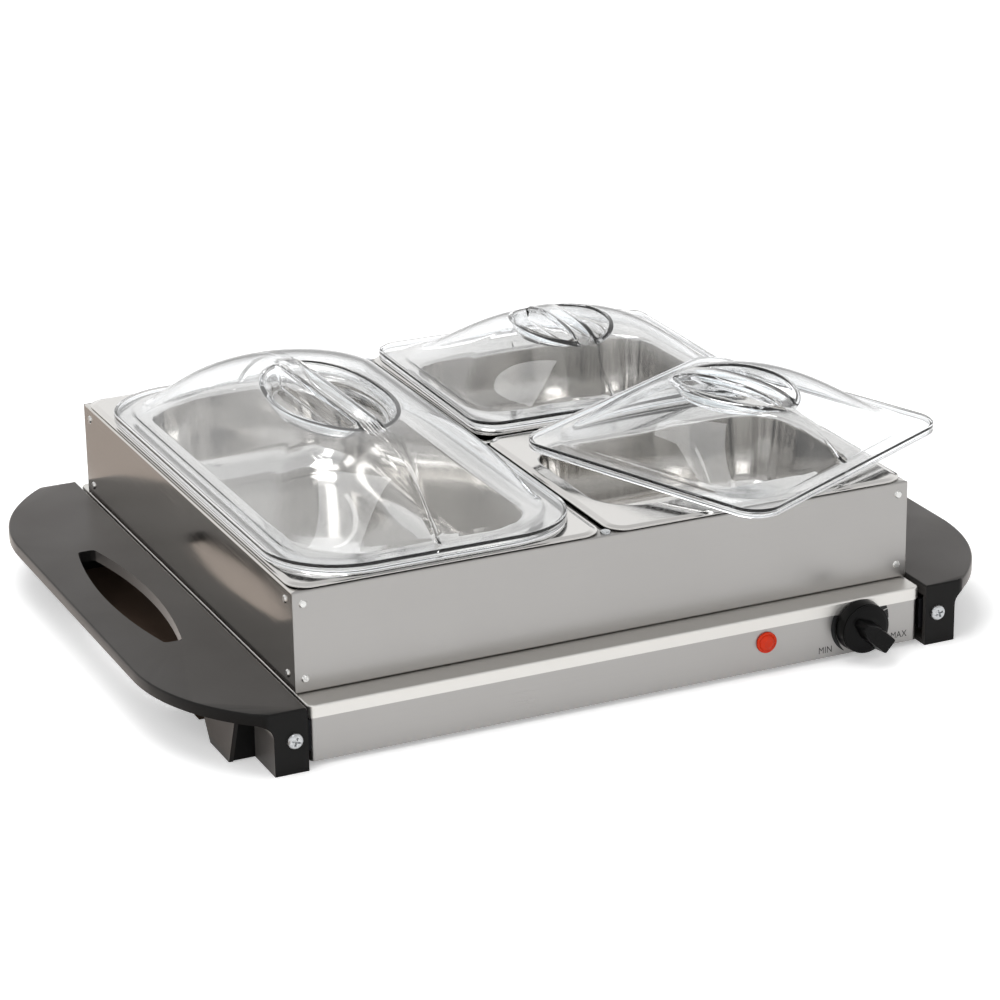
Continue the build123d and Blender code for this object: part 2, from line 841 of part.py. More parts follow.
def panel_profile(face):
    """The C-section of a panel whose outer face stands at -face."""
    with BuildSketch() as profile:
        Polygon(
            (-face, frame_bottom),
            (-face, frame_top),
            (-face + frame_flange, frame_top),
            (-face + frame_flange, frame_top - sheet),
            (-face + sheet, frame_top - sheet),
            (-face + sheet, frame_bottom + sheet),
            (-face + frame_foot, frame_bottom + sheet),
            (-face + frame_foot, frame_bottom),
            align=None,
        )
        fillet(profile.vertices().group_by(Axis.X)[0], frame_fold)
    return profile.sketch


with BuildPart() as frame_front:
    with BuildSketch(side(-half_width)):
        add(panel_profile(half_depth))
    extrude(amount=frame_width)
    with BuildSketch(level(frame_bottom)):
        for hand in (-1, 1):
            Polygon(
                (hand * half_width, sheet - half_depth),
                (hand * (half_width - sheet), sheet - half_depth),
                (hand * (half_width - frame_flange), frame_flange - half_depth),
                (hand * half_width, frame_flange - half_depth),
                align=None,
            )
    extrude(amount=frame_height, mode=Mode.SUBTRACT)
    with BuildSketch(front(-half_depth)):
        for hand in (-1, 1):
            for height in (rivet_low, rivet_high):
                with Locations((hand * (half_width - rivet_inset), frame_bottom + height)):
                    Circle(rivet_shank / 2 + shaft_fit)
    extrude(amount=-sheet, mode=Mode.SUBTRACT)
    with BuildSketch(level(frame_top)):
        with Locations((divider_x, divider_screw_y - half_depth)):
            Circle(small_screw_shank / 2 + shaft_fit)
    extrude(amount=-sheet, mode=Mode.SUBTRACT)
save(frame_front.part, "frame_front")

with BuildPart() as frame_rear:
    mirror(frame_front.part, about=middle)
save(frame_rear.part, "frame_rear")

with BuildPart() as frame_left:
    with BuildSketch(front(half_depth - sheet)):
        add(panel_profile(half_width))
    extrude(amount=frame_depth - 2 * sheet)
    with BuildSketch(level(frame_bottom)):
        for hand in (-1, 1):
            Polygon(
                (sheet - half_width, hand * (half_depth - sheet)),
                (frame_flange - half_width, hand * (half_depth - sheet)),
                (frame_flange - half_width, hand * (half_depth - frame_flange)),
                align=None,
            )
    extrude(amount=frame_height, mode=Mode.SUBTRACT)
    with BuildSketch(side(-half_width)):
        for hand in (-1, 1):
            for height in (rivet_low, rivet_high):
                with Locations((hand * (half_depth - rivet_side), frame_bottom + height)):
                    Circle(rivet_shank / 2 + shaft_fit)
    extrude(amount=sheet, mode=Mode.SUBTRACT)
save(frame_left.part, "frame_left")

with BuildPart() as frame_right:
    mirror(frame_left.part, about=Plane.YZ)
save(frame_right.part, "frame_right")

with BuildPart() as corner_angles:
    with BuildSketch(level(frame_bottom + sheet)):
        with Locations((sheet - half_width, sheet - half_depth)):
            Rectangle(angle_leg, angle_sheet, align=(Align.MIN, Align.MIN))
            Rectangle(angle_sheet, angle_leg, align=(Align.MIN, Align.MIN))
    extrude(amount=frame_height - 2 * sheet)
    with BuildSketch(front(-half_depth + sheet)):
        for height in (rivet_low, rivet_high):
            with Locations((rivet_inset - half_width, frame_bottom + height)):
                Circle(rivet_shank / 2 + shaft_fit)
    extrude(amount=-angle_sheet, mode=Mode.SUBTRACT)
    with BuildSketch(side(sheet - half_width)):
        for height in (rivet_low, rivet_high):
            with Locations((rivet_side - half_depth, frame_bottom + height)):
                Circle(rivet_shank / 2 + shaft_fit)
    extrude(amount=angle_sheet, mode=Mode.SUBTRACT)
    mirror(about=Plane.YZ)
    mirror(about=middle)
save(corner_angles.part, "corner_angles")

rivet_spots = (
    (front(-half_depth), rivet_inset - half_width),
    (Plane(side(-half_width).origin, x_dir=(0, -1, 0), z_dir=(-1, 0, 0)), half_depth - rivet_side),
)
rivet_tail = sheet + angle_sheet + rivet_rise
with BuildPart() as rivets:
    for rivet_plane, rivet_offset in rivet_spots:
        for height in (rivet_low, rivet_high):
            spot = (rivet_offset, frame_bottom + height)
            with BuildSketch(rivet_plane):
                with Locations(spot):
                    Circle(rivet_head / 2)
            extrude(amount=rivet_rise, taper=rivet_lean)
            with BuildSketch(rivet_plane):
                with Locations(spot):
                    Circle(rivet_shank / 2)
            extrude(amount=-rivet_tail)
            with BuildSketch(rivet_plane.offset(-sheet - angle_sheet)):
                with Locations(spot):
                    Circle(rivet_head / 2)
            extrude(amount=-rivet_rise)
    mirror(about=Plane.YZ)
    mirror(about=middle)
save(rivets.part, "frame_rivets")

# ---- dividers: inverted channels under the flanges
divider_top = frame_top - sheet


def divider_profile(across):
    with BuildSketch() as profile:
        with Locations((across, divider_top)):
            Rectangle(divider_width, divider_drop, align=(Align.CENTER, Align.MAX))
        with Locations((across, divider_top - sheet)):
            Rectangle(
                divider_width - 2 * sheet,
                divider_drop,
                align=(Align.CENTER, Align.MAX),
                mode=Mode.SUBTRACT,
            )
    return profile.sketch


with BuildPart() as divider_long:
    with BuildSketch(front(half_depth - sheet)):
        add(divider_profile(divider_x))
    extrude(amount=frame_depth - 2 * sheet)
    with BuildSketch(level(divider_top)):
        with GridLocations(0, frame_depth - 2 * divider_screw_y, 1, 2):
            with Locations((divider_x, 0)):
                Circle(small_screw_shank / 2 + shaft_fit)
    extrude(amount=-sheet, mode=Mode.SUBTRACT)
save(divider_long.part, "divider_long")

with BuildPart() as divider_cross:
    with BuildSketch(side(divider_x + divider_width / 2)):
        add(divider_profile(divider_y))
    extrude(amount=half_width - sheet - divider_x - divider_width / 2)
save(divider_cross.part, "divider_cross")

with BuildPart() as divider_screws:
    with BuildSketch(level(frame_top)):
        with Locations((divider_x, divider_screw_y - half_depth)):
            Circle(divider_screw_head / 2)
    extrude(amount=divider_screw_rise)
    fillet(divider_screws.faces().sort_by(Axis.Z)[-1].edges(), divider_screw_crown)
    with BuildSketch(level(frame_top)):
        with Locations((divider_x, divider_screw_y - half_depth)):
            Circle(small_screw_shank / 2)
    extrude(amount=-2 * sheet - divider_screw_rise)
    mirror(about=middle)
save(divider_screws.part, "divider_screws")


# ---------------------------------------------------------------- pans
def rounded_frustum(width, length, corner, top, height, lean):
    """A rounded block that stands below the height top and narrows downward by lean degrees."""
    with BuildPart() as block:
        with BuildSketch(Plane.XY.offset(top)):
            RectangleRounded(width, length, corner)
        extrude(amount=-height, taper=lean)
    return block


def make_pan(width, length, bowl_width, bowl_length, bowl_corner):
    """A pressed pan about its rim's middle, with the face of its raised flange at zero."""
    band_inset = 2 * pan_band
    with BuildPart() as bowl_outside:
        add(
            rounded_frustum(
                bowl_width + 2 * pan_sheet,
                bowl_length + 2 * pan_sheet,
                bowl_corner + pan_sheet,
                0,
                pan_depth,
                pan_draft,
            ).part
        )
        fillet(bowl_outside.faces().sort_by(Axis.Z)[0].edges(), pan_bottom)
    with BuildPart() as bowl_inside:
        add(
            rounded_frustum(
                bowl_width, bowl_length, bowl_corner, 0, pan_depth - pan_sheet, pan_draft
            ).part
        )
        fillet(bowl_inside.faces().sort_by(Axis.Z)[0].edges(), pan_bottom - pan_sheet)
    step_lean = degrees(atan(pan_slope / pan_step))
    with BuildPart() as pan:
        with BuildSketch(Plane.XY.offset(-pan_step)):
            RectangleRounded(width, length, pan_corner)
        extrude(amount=pan_sheet)
        with BuildSketch(Plane.XY.offset(-pan_step)):
            RectangleRounded(width - band_inset, length - band_inset, pan_corner - pan_band)
        extrude(amount=pan_step, taper=step_lean)
        fillet(pan.faces().sort_by(Axis.Z)[-1].edges(), pan_sheet)
        with BuildSketch(Plane.XY.offset(-pan_step)):
            RectangleRounded(
                width - band_inset - 2 * pan_sheet,
                length - band_inset - 2 * pan_sheet,
                pan_corner - pan_band - pan_sheet,
            )
        extrude(amount=pan_step - pan_sheet, taper=step_lean, mode=Mode.SUBTRACT)
        add(bowl_outside.part)
        add(bowl_inside.part, mode=Mode.SUBTRACT)
    return pan.part


small_pan = make_pan(
    pan_width, pan_length, pan_width - 2 * well_side, pan_length - 2 * well_end, well_corner
)
large_pan = make_pan(
    large_width,
    large_length,
    large_width - 2 * large_well_side,
    large_length - 2 * large_well_end,
    large_well_corner,
)
pan_places = {
    "pan_large": (large_pan, large_pan_x, 0),
    "pan_small_front": (small_pan, small_pan_x, -small_pan_y),
    "pan_small_rear": (small_pan, small_pan_x, small_pan_y),
}
for name, (form, place_x, place_y) in pan_places.items():
    save(form.moved(Location((place_x, centre_y + place_y, pan_face))), name)


# ---------------------------------------------------------------- lids
def dome_line(half_x, half_y, corner, powers, share):
    """Half sizes and corner radius of a dome's height line at a share of its rise. The lines turn
    from a rounded rectangle at the base into an oval at the crown."""
    reach_x = half_x * (1 - share) ** (1 / powers[0])
    reach_y = half_y * (1 - share) ** (1 / powers[1])
    least = min(reach_x, reach_y)
    return reach_x, reach_y, min(corner + (least - corner) * sqrt(share), least - lid_edge)


def dome(half_x, half_y, corner, rise, powers, base):
    """A pillow dome lofted through its own height lines."""
    with BuildPart() as form:
        for share in dome_shares:
            reach_x, reach_y, round_off = dome_line(half_x, half_y, corner, powers, share)
            with BuildSketch(Plane.XY.offset(base + rise * share / dome_shares[-1])):
                RectangleRounded(2 * reach_x, 2 * reach_y, round_off)
        loft()
    return form.part


def make_lid(width, length, corner, band, rise, dome_corner, powers, grip_x, grip_y):
    """A clear lid about its middle, with the foot of its lip at zero."""
    reach_x = width / 2 - band
    reach_y = length / 2 - band
    floor = lid_lip + rise - finger_depth
    with BuildSketch() as fingers:
        Ellipse(grip_x, grip_y)
        Rectangle(finger_bar, 2 * grip_y, mode=Mode.SUBTRACT)
        fillet(fingers.vertices(), finger_corner)
    with BuildSketch() as cups:
        Ellipse(grip_x + lid_wall, grip_y + lid_wall)
        Rectangle(finger_bar - 2 * lid_wall, 2 * (grip_y + lid_wall), mode=Mode.SUBTRACT)
        fillet(cups.vertices(), finger_corner + lid_wall)
    with BuildPart() as bar:
        add(dome(reach_x, reach_y, dome_corner, rise + finger_rise, powers, lid_lip))
        with BuildSketch(Plane.XY):
            SlotOverall(2 * grip_y, finger_bar, rotation=90)
        extrude(amount=lid_lip + rise + 2 * finger_rise, mode=Mode.INTERSECT)
    with BuildPart() as hollow:
        with BuildSketch(Plane.XY):
            RectangleRounded(width - 2 * lid_wall, length - 2 * lid_wall, corner - lid_wall)
        extrude(amount=lid_lip - lid_wall)
        add(
            dome(
                reach_x - lid_wall,
                reach_y - lid_wall,
                dome_corner - lid_wall,
                rise,
                powers,
                lid_lip - lid_wall,
            )
        )
        with BuildSketch(Plane.XY.offset(floor - lid_wall)):
            add(cups.sketch)
        extrude(amount=finger_depth + lid_wall, mode=Mode.SUBTRACT)
    with BuildPart() as lid:
        with BuildSketch(Plane.XY):
            RectangleRounded(width, length, corner)
        extrude(amount=lid_lip)
        fillet(lid.faces().sort_by(Axis.Z)[-1].edges(), lid_edge)
        add(dome(reach_x, reach_y, dome_corner, rise, powers, lid_lip))
        add(bar.part)
        add(hollow.part, mode=Mode.SUBTRACT)
        with BuildSketch(Plane.XY.offset(floor)):
            add(fingers.sketch)
        extrude(amount=finger_depth + finger_rise, mode=Mode.SUBTRACT)
    return lid.part


small_lid = make_lid(
    small_lid_width,
    small_lid_length,
    small_lid_corner,
    small_lid_band,
    small_lid_rise,
    small_dome_corner,
    small_dome_powers,
    small_grip_x,
    small_grip_y,
)
large_lid = make_lid(
    large_lid_width,
    large_lid_length,
    large_lid_corner,
    large_lid_band,
    large_lid_rise,
    large_dome_corner,
    large_dome_powers,
    large_grip_x,
    large_grip_y,
)
save(
    large_lid.moved(
        Location((large_pan_x + large_lid_x, centre_y + large_lid_y, lid_face))
    ),
    "lid_large",
)
save(
    small_lid.moved(
        Location(
            (small_pan_x + rear_lid_x, centre_y + small_pan_y + rear_lid_y, lid_face),
            (0, 0, rear_lid_turn),
        )
    ),
    "lid_small_rear",
)
# The front small lid lies across its pan: its foot is lifted until it rests on the rear lid.
askew_lean = Location((0, 0, 0), (0, 0, askew_turn[2]))
askew_lean *= Location((0, 0, 0), (0, askew_turn[1], 0))
askew_lean *= Location((0, 0, 0), (askew_turn[0], 0, 0))


def rear_height(x, y):
    """Height of the rear small lid's face over its own foot, at a place from its middle."""
    if abs(x) > small_lid_width / 2 or abs(y) > small_lid_length / 2:
        return 0
    low, high = 0, 1
    for _ in range(rest_steps):
        share = (low + high) / 2
        reach_x, reach_y, corner = dome_line(
            small_lid_width / 2 - small_lid_band,
            small_lid_length / 2 - small_lid_band,
            small_dome_corner,
            small_dome_powers,
            share,
        )
        over_x = max(abs(x) - reach_x + corner, 0)
        over_y = max(abs(y) - reach_y + corner, 0)
        if over_x**2 + over_y**2 < corner**2:
            low = share
        else:
            high = share
    return lid_lip + small_lid_rise * low / dome_shares[-1]


askew_foot = RectangleRounded(small_lid_width, small_lid_length, small_lid_corner).wire()
askew_rises = []
for step in range(rest_points):
    spot = (askew_lean * Location(askew_foot.position_at(step / rest_points))).position
    rear_x = spot.X + askew_x - rear_lid_x
    rear_y = spot.Y + askew_y - rear_lid_y - 2 * small_pan_y
    askew_rises.append(rear_height(rear_x, rear_y) - spot.Z)
askew_lift = max(askew_rises) + askew_gap
askew_seat = Location(
    (small_pan_x + askew_x, centre_y - small_pan_y + askew_y, lid_face + askew_lift)
)
save(small_lid.moved(askew_seat * askew_lean), "lid_small_front")
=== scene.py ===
import json
import math

import bmesh
import bpy
import numpy as np
from mathutils import Matrix, Vector


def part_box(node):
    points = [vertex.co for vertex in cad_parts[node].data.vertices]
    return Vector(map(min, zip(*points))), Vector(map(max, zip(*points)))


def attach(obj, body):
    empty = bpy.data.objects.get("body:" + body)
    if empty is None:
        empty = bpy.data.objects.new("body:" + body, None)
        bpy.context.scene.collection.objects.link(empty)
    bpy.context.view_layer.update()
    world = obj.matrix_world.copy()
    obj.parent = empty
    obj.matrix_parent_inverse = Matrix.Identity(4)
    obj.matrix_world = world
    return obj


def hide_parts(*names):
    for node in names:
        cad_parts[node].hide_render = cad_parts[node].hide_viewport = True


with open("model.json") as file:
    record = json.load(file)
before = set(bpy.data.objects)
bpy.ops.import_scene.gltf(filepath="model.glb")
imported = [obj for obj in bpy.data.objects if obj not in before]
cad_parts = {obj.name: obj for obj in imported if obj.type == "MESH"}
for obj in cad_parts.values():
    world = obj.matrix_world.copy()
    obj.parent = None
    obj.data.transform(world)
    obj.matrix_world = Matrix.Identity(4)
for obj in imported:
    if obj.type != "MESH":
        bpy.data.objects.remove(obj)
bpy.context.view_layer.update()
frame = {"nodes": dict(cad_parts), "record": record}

bl_info = {
    "name": "Food warmer tray",
    "version": (1, 0, 0),
    "blender": (4, 5, 0),
    "location": "View3D > Sidebar > Warmer",
    "description": "Dresses the warmer tray: pans, clear lids, pilot lamp, dial and finishes",
    "category": "Object",
}

MM = 0.001
# The middle of the frame's depth, and the front face of the base.
MIDDLE_Y = (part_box("frame_front")[0][1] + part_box("frame_rear")[1][1]) / 2
PANEL_Y = MIDDLE_Y - 191.7 * MM
PANS = ("pan_large", "pan_small_rear", "pan_small_front")

# The camera: where its eye is in metres, how it is turned in degrees, its focal length as a share
# of its sensor's width, and that width in mm.
EYE = Vector((-0.79437, -1.77218 + MIDDLE_Y, 0.78411))
YAW, PITCH, ROLL = 24.47, 20.53, -0.89
FOCAL_SHARE = 3.45387
SENSOR = 36

# Points in each corner and on each side of a pan's and a lid's rounded rectangles.
PAN_CORNER, PAN_SIDE = 13, 14
LID_CORNER, LID_SIDE = 15, 28


# ---------------------------------------------------------------- numbers to meshes
def array(*rows):
    return np.array(rows, float)


def put_mesh(name, points, faces, material, body, smooth=True, weld=1e-6, sharp=None):
    """Makes one object at the origin from metres and quads or triangles, welded and closed."""
    mesh = bpy.data.meshes.new(name)
    mesh.from_pydata(np.asarray(points, float).reshape(-1, 3).tolist(), [], faces)
    piece = bpy.data.objects.new(name, mesh)
    bpy.context.scene.collection.objects.link(piece)
    work = bmesh.new()
    work.from_mesh(mesh)
    bmesh.ops.remove_doubles(work, verts=work.verts, dist=weld)
    bmesh.ops.dissolve_degenerate(work, edges=work.edges, dist=weld)
    bmesh.ops.recalc_face_normals(work, faces=work.faces)
    work.to_mesh(mesh)
    work.free()
    mesh.shade_smooth() if smooth else mesh.shade_flat()
    if sharp:
        mesh.set_sharp_from_angle(angle=math.radians(sharp))
    mesh.materials.append(material)
    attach(piece, body)
    return piece


def grid_faces(rows, columns, start=0, closed=False):
    """Quads between neighbouring points of a grid numbered row by row; closed joins its ends."""
    i, j = np.meshgrid(
        np.arange(rows - 1), np.arange(columns - (0 if closed else 1)), indexing="ij"
    )
    k = (j + 1) % columns
    quads = np.stack(
        [i * columns + j, i * columns + k, (i + 1) * columns + k, (i + 1) * columns + j], -1
    )
    return (quads.reshape(-1, 4) + start).tolist()


def stacked(rings, poles):
    """A closed body of rings of points one after another, with a pole before and after them."""
    count, sides = rings.shape[:2]
    faces = grid_faces(count, sides, closed=True)
    back, front = count * sides, count * sides + 1
    last = back - sides
    for k in range(sides):
        after = (k + 1) % sides
        faces += [(after, k, back), (last + k, last + after, front)]
    return np.vstack([rings.reshape(-1, 3), poles]), faces


def corner_shares(per_corner, per_side):
    """Shares of a rounded rectangle, once round from its right front corner.

    A point is (ux (hx - r) + r cos a, uy (hy - r) + r sin a): the straights run ux or uy from
    corner to corner, and in a corner both stay at 1 or -1 while a turns a quarter.
    """
    rows = []
    run = np.linspace(0, 1, per_side + 1)[1:-1]
    corners = ((1, -1), (1, 1), (-1, 1), (-1, -1))
    for turn, (ux, uy) in enumerate(corners):
        next_x, next_y = corners[(turn + 1) % 4]
        a = np.linspace(0, math.pi / 2, per_corner) + (turn - 1) * math.pi / 2
        rows.append(np.column_stack([0 * a + ux, 0 * a + uy, np.cos(a), np.sin(a)]))
        straight = [ux + (next_x - ux) * run, uy + (next_y - uy) * run]
        straight += [0 * run + math.cos(a[-1]), 0 * run + math.sin(a[-1])]
        rows.append(np.column_stack(straight))
    return np.concatenate(rows)


def ring(shares, half_x, half_y, corner, height):
    """One rounded rectangle of points at a height, by the formula of corner_shares."""
    across = shares[:, 0] * (half_x - corner) + corner * shares[:, 2]
    along = shares[:, 1] * (half_y - corner) + corner * shares[:, 3]
    return np.column_stack([across, along, np.full(len(shares), float(height))])


# ---------------------------------------------------------------- colours and nodes
def linear(colour, level=1.0):
    """An sRGB hex value such as "8a8884" as the linear colour of a node, brought to a level."""
    parts = [int(colour[k : k + 2], 16) / 255 for k in (0, 2, 4)]
    parts = [p / 12.92 if p <= 0.04045 else ((p + 0.055) / 1.055) ** 2.4 for p in parts]
    return tuple(p * level for p in parts) + (1,)


def node(material, kind, settings=None, links=None):
    """Adds one node: a setting is an attribute or an input's value, and a link is the socket
    that an input reads, or the node whose first output it reads."""
    added = material.node_tree.nodes.new(kind)
    for key, value in (settings or {}).items():
        if isinstance(key, str) and hasattr(added, key) and key not in added.inputs:
            setattr(added, key, value)
        else:
            added.inputs[key].default_value = value
    for key, source in (links or {}).items():
        if isinstance(source, bpy.types.Node):
            source = source.outputs[0]
        material.node_tree.links.new(source, added.inputs[key])
    return added


def blank(name):
    """A material without nodes."""
    material = bpy.data.materials.new(name)
    material.use_nodes = True
    material.node_tree.nodes.clear()
    return material


def span(low, high, first=0.0, last=1.0):
    """The settings of a range: between low and high it goes from first to last."""
    return {"From Min": low, "From Max": high, "To Min": first, "To Max": last}


def pattern(material, sizes, detail, roughness=0.5, turn=0.0):
    """A cloudy pattern over the object's own coordinates turned about Z, with its sizes in mm
    along each axis."""
    place = node(material, "ShaderNodeTexCoord").outputs["Object"]
    turned_by = {"Rotation": (0, 0, math.radians(turn))}
    place = node(material, "ShaderNodeMapping", turned_by, {"Vector": place})
    scale = {"Scale": tuple(1 / (size * MM) for size in sizes)}
    place = node(material, "ShaderNodeMapping", scale, {"Vector": place})
    settings = {"Scale": 1.0, "Detail": detail, "Roughness": roughness}
    return node(material, "ShaderNodeTexNoise", settings, {"Vector": place})


def shaded(material, cloud, limits, colours, settings, links):
    """Ends a material: a pattern mixes two colours between its limits, and the shader gets them
    with its settings and other links."""
    share = node(material, "ShaderNodeMapRange", span(*limits), {"Value": cloud})
    pair = {"data_type": "RGBA", 6: colours[0], 7: colours[1]}
    tint = node(material, "ShaderNodeMix", pair, {0: share}).outputs[2]
    links = {"Base Color": tint, **links}
    shader = node(material, "ShaderNodeBsdfPrincipled", settings, links)
    node(material, "ShaderNodeOutputMaterial", {}, {"Surface": shader})
    return material


def steel(name, colour, grain, roughness, strength, bend=0.0, contrast=0.06, turn=0.0):
    """Rolled stainless sheet: grain gives the sizes in mm of its brush marks along X, Y and Z,
    and bend is the depth in mm of the sheet's slow buckles.

    The real marks are about 0.05 mm wide; they are drawn 0.35 mm wide so that they show.
    """
    material = blank(name)
    marks = pattern(material, grain, 4.0, 0.65, turn)
    cloud = pattern(material, (70, 70, 70), 3.0)
    scored = node(
        material, "ShaderNodeMapRange", span(0.35, 0.65, -0.05, 0.05), {"Value": marks}
    )
    wear = span(0.3, 0.7, roughness - 0.03, roughness + 0.04)
    rubbed = node(material, "ShaderNodeMapRange", wear, {"Value": cloud})
    worn = node(material, "ShaderNodeMath", {"operation": "ADD"}, {0: scored, 1: rubbed})
    cut = {"Strength": strength, "Distance": 0.02 * MM}
    relief = node(material, "ShaderNodeBump", cut, {"Height": marks})
    if bend:
        waves = pattern(material, (90, 90, 60), 1.0)
        swell = {"Strength": 1.0, "Distance": bend * MM}
        relief = node(material, "ShaderNodeBump", swell, {"Height": waves, "Normal": relief})
    colours = linear(colour, 1 - contrast), linear(colour)
    links = {"Roughness": worn, "Normal": relief}
    return shaded(material, marks, (0.35, 0.65), colours, {"Metallic": 1.0}, links)


def moulded(name, colour, roughness, grain, depth, specular=0.5, fleck=0.25, dust=0.0):
    """Moulded plastic with the fine spark-eroded texture of its tool: grain is its size and
    depth its relief, both in mm."""
    material = blank(name)
    pits = pattern(material, (grain, grain, grain), 2.0)
    drift = pattern(material, (45, 45, 45), 2.0)
    cut = {"Strength": 0.6, "Distance": depth * MM}
    relief = node(material, "ShaderNodeBump", cut, {"Height": pits})
    wear = span(0.3, 0.7, roughness - 0.05, roughness + 0.05)
    worn = node(material, "ShaderNodeMapRange", wear, {"Value": drift})
    colours = linear(colour), linear(colour, 1 + fleck)
    settings = {"Specular IOR Level": specular, "Sheen Weight": dust, "Sheen Roughness": 0.35}
    settings["Sheen Tint"] = linear("e6ded8")
    links = {"Roughness": worn, "Normal": relief}
    return shaded(material, drift, (0.3, 0.7), colours, settings, links)


def plated(name, colour, roughness, grain, contrast=0.2):
    """Small metal parts: plated or drawn metal with a fine cloudy tarnish, its grain in mm."""
    material = blank(name)
    cloud = pattern(material, (grain, grain, grain), 4.0)
    wear = span(0.35, 0.65, roughness + 0.08, roughness - 0.04)
    worn = node(material, "ShaderNodeMapRange", wear, {"Value": cloud})
    cut = {"Strength": 0.3, "Distance": 0.02 * MM}
    relief = node(material, "ShaderNodeBump", cut, {"Height": cloud})
    colours = linear(colour, 1 - contrast), linear(colour)
    links = {"Roughness": worn, "Normal": relief}
    return shaded(material, cloud, (0.35, 0.65), colours, {"Metallic": 1.0}, links)


def clear_styrene(name):
    """Clear polystyrene, injection moulded: both skins bend the light, with a faint flow waviness.

    Shadow rays pass with a slight loss. A ray that has crossed more than five skins goes on
    straight, so that no edge ends in black.
    """
    material = blank(name)
    flow = pattern(material, (40, 40, 40), 1.0)
    cut = {"Strength": 0.3, "Distance": 0.1 * MM}
    relief = node(material, "ShaderNodeBump", cut, {"Height": flow})
    worn = node(material, "ShaderNodeMapRange", span(0.3, 0.7, 0.0, 0.012), {"Value": flow})
    clear = {"Transmission Weight": 1.0, "IOR": 1.5, "Base Color": linear("fdfeff")}
    links = {"Roughness": worn, "Normal": relief}
    body = node(material, "ShaderNodeBsdfPrincipled", clear, links)
    path = node(material, "ShaderNodeLightPath").outputs
    crossed = {"operation": "GREATER_THAN", 1: 5.5}
    deep = node(material, "ShaderNodeMath", crossed, {0: path["Transmission Depth"]})
    links = {0: path["Is Shadow Ray"], 1: deep}
    straight = node(material, "ShaderNodeMath", {"operation": "MAXIMUM"}, links)
    passing = node(material, "ShaderNodeBsdfTransparent", {"Color": linear("f8fafb")})
    whole = node(material, "ShaderNodeMixShader", {}, {0: straight, 1: body, 2: passing})
    node(material, "ShaderNodeOutputMaterial", {}, {"Surface": whole})
    return material


# ---------------------------------------------------------------- what a user may change
def length(name, description, *mm):
    """A length with its default in mm, or a row of lengths."""
    words = {"name": name, "description": description, "unit": "LENGTH"}
    if len(mm) == 1:
        return bpy.props.FloatProperty(default=mm[0] * MM, **words)
    default = tuple(each * MM for each in mm)
    return bpy.props.FloatVectorProperty(size=len(mm), default=default, **words)


def angle(name, description, *degrees):
    """An angle with its default in degrees, or a turn about each axis."""
    words = {"name": name, "description": description}
    default = tuple(math.radians(each) for each in degrees)
    if len(degrees) == 1:
        return bpy.props.FloatProperty(default=default[0], subtype="ANGLE", **words)
    return bpy.props.FloatVectorProperty(default=default, subtype="EULER", **words)


def fullness(name, description, *default):
    """Two plain numbers, for X and Y."""
    return bpy.props.FloatVectorProperty(
        name=name, description=description, size=2, default=default
    )


def hex_colour(name, description, default):
    """A colour as an sRGB hex value."""
    return bpy.props.StringProperty(name=name, description=description, default=default)


class PanSizes(bpy.types.PropertyGroup):
    sheet: length("Sheet", "Thickness of the pressed steel", 0.7)
    step: length("Step", "Rise of the flange over its edge band", 2)
    band: length("Band", "Width of the low edge band", 1.6)
    slope: length("Slope", "Width of the slope up to the flange", 2.6)
    lift: length("Lift", "Gap under the edge band where the rim springs", 0.5)
    corner: length("Corner", "Corner radius of the rim", 13)
    depth: length("Depth", "Depth of the well under the flange", 55)
    draft: angle("Draft", "Lean of the well's walls", 6)
    bottom: length("Bottom radius", "Radius at the foot of the walls", 17.3)
    brim: length("Brim", "Radius where the flange turns down", 2.2)
    small_well: length(
        "Small well", "Width, length and corner radius of the small pans' wells", 163, 112, 28
    )
    large_well: length(
        "Large well", "Width, length and corner radius of the large pan's well", 135, 290, 34
    )


class LidSizes(bpy.types.PropertyGroup):
    wall: length("Wall", "Thickness of the plastic", 2.2)
    lip: length("Lip", "Height of the straight lip", 5.1)
    edge: length("Edge", "Radius along the top of the lip", 1)
    small: length(
        "Small lid", "Width, length and corner radius of the small lids", 187.7, 174.6, 17
    )
    small_dome: length(
        "Small dome",
        "Band width, rise and base corner radius of the small lids' domes",
        *(10, 31.5, 30),
    )
    small_grip: length(
        "Small grip",
        "Half width, half length and depth of the small lids' finger pockets",
        *(28, 39.5, 10),
    )
    small_powers: fullness("Small powers", "Fullness of the small domes along X and Y", 2.8, 2.5)
    large: length(
        "Large lid", "Width, length and corner radius of the large lid", 179.4, 333.5, 46
    )
    large_dome: length(
        "Large dome", "Band width, rise and base corner radius of the large lid's dome", 11, 39, 38
    )
    large_grip: length(
        "Large grip",
        "Half width, half length and depth of the large lid's finger pockets",
        *(31.9, 66.7, 10),
    )
    large_powers: fullness("Large powers", "Fullness of the large dome along X and Y", 4, 5)
    crease: length("Crease", "Height over which the dome turns into the band", 0.22)
    bar: length("Bar", "Width of the bar between the pockets", 14)
    bar_rise: length("Bar rise", "Rise of the bar over the dome", 1)


class LidPlaces(bpy.types.PropertyGroup):
    rear_turn: angle("Rear turn", "Turn of the rear small lid on its pan", -1)
    askew_turn: angle(
        "Front turn", "How the lid that lies across its pan leans and turns", 2.6, -1.2, 26
    )


class HandleSizes(bpy.types.PropertyGroup):
    leg: length("Leg", "From the inner side to the middle of the leg plates", 33.8)
    leg_wall: length("Leg wall", "Thickness of the leg plates", 2.5)
    toe: length("Toe", "From the moulding's end to a leg's toe", 29.4)
    head: length("Head", "From the moulding's end to a leg's top", 17.2)
    under: length("Under", "Height of the moulding's underside", 30.2)
    column: length("Column", "Width of the foot columns", 19.6)


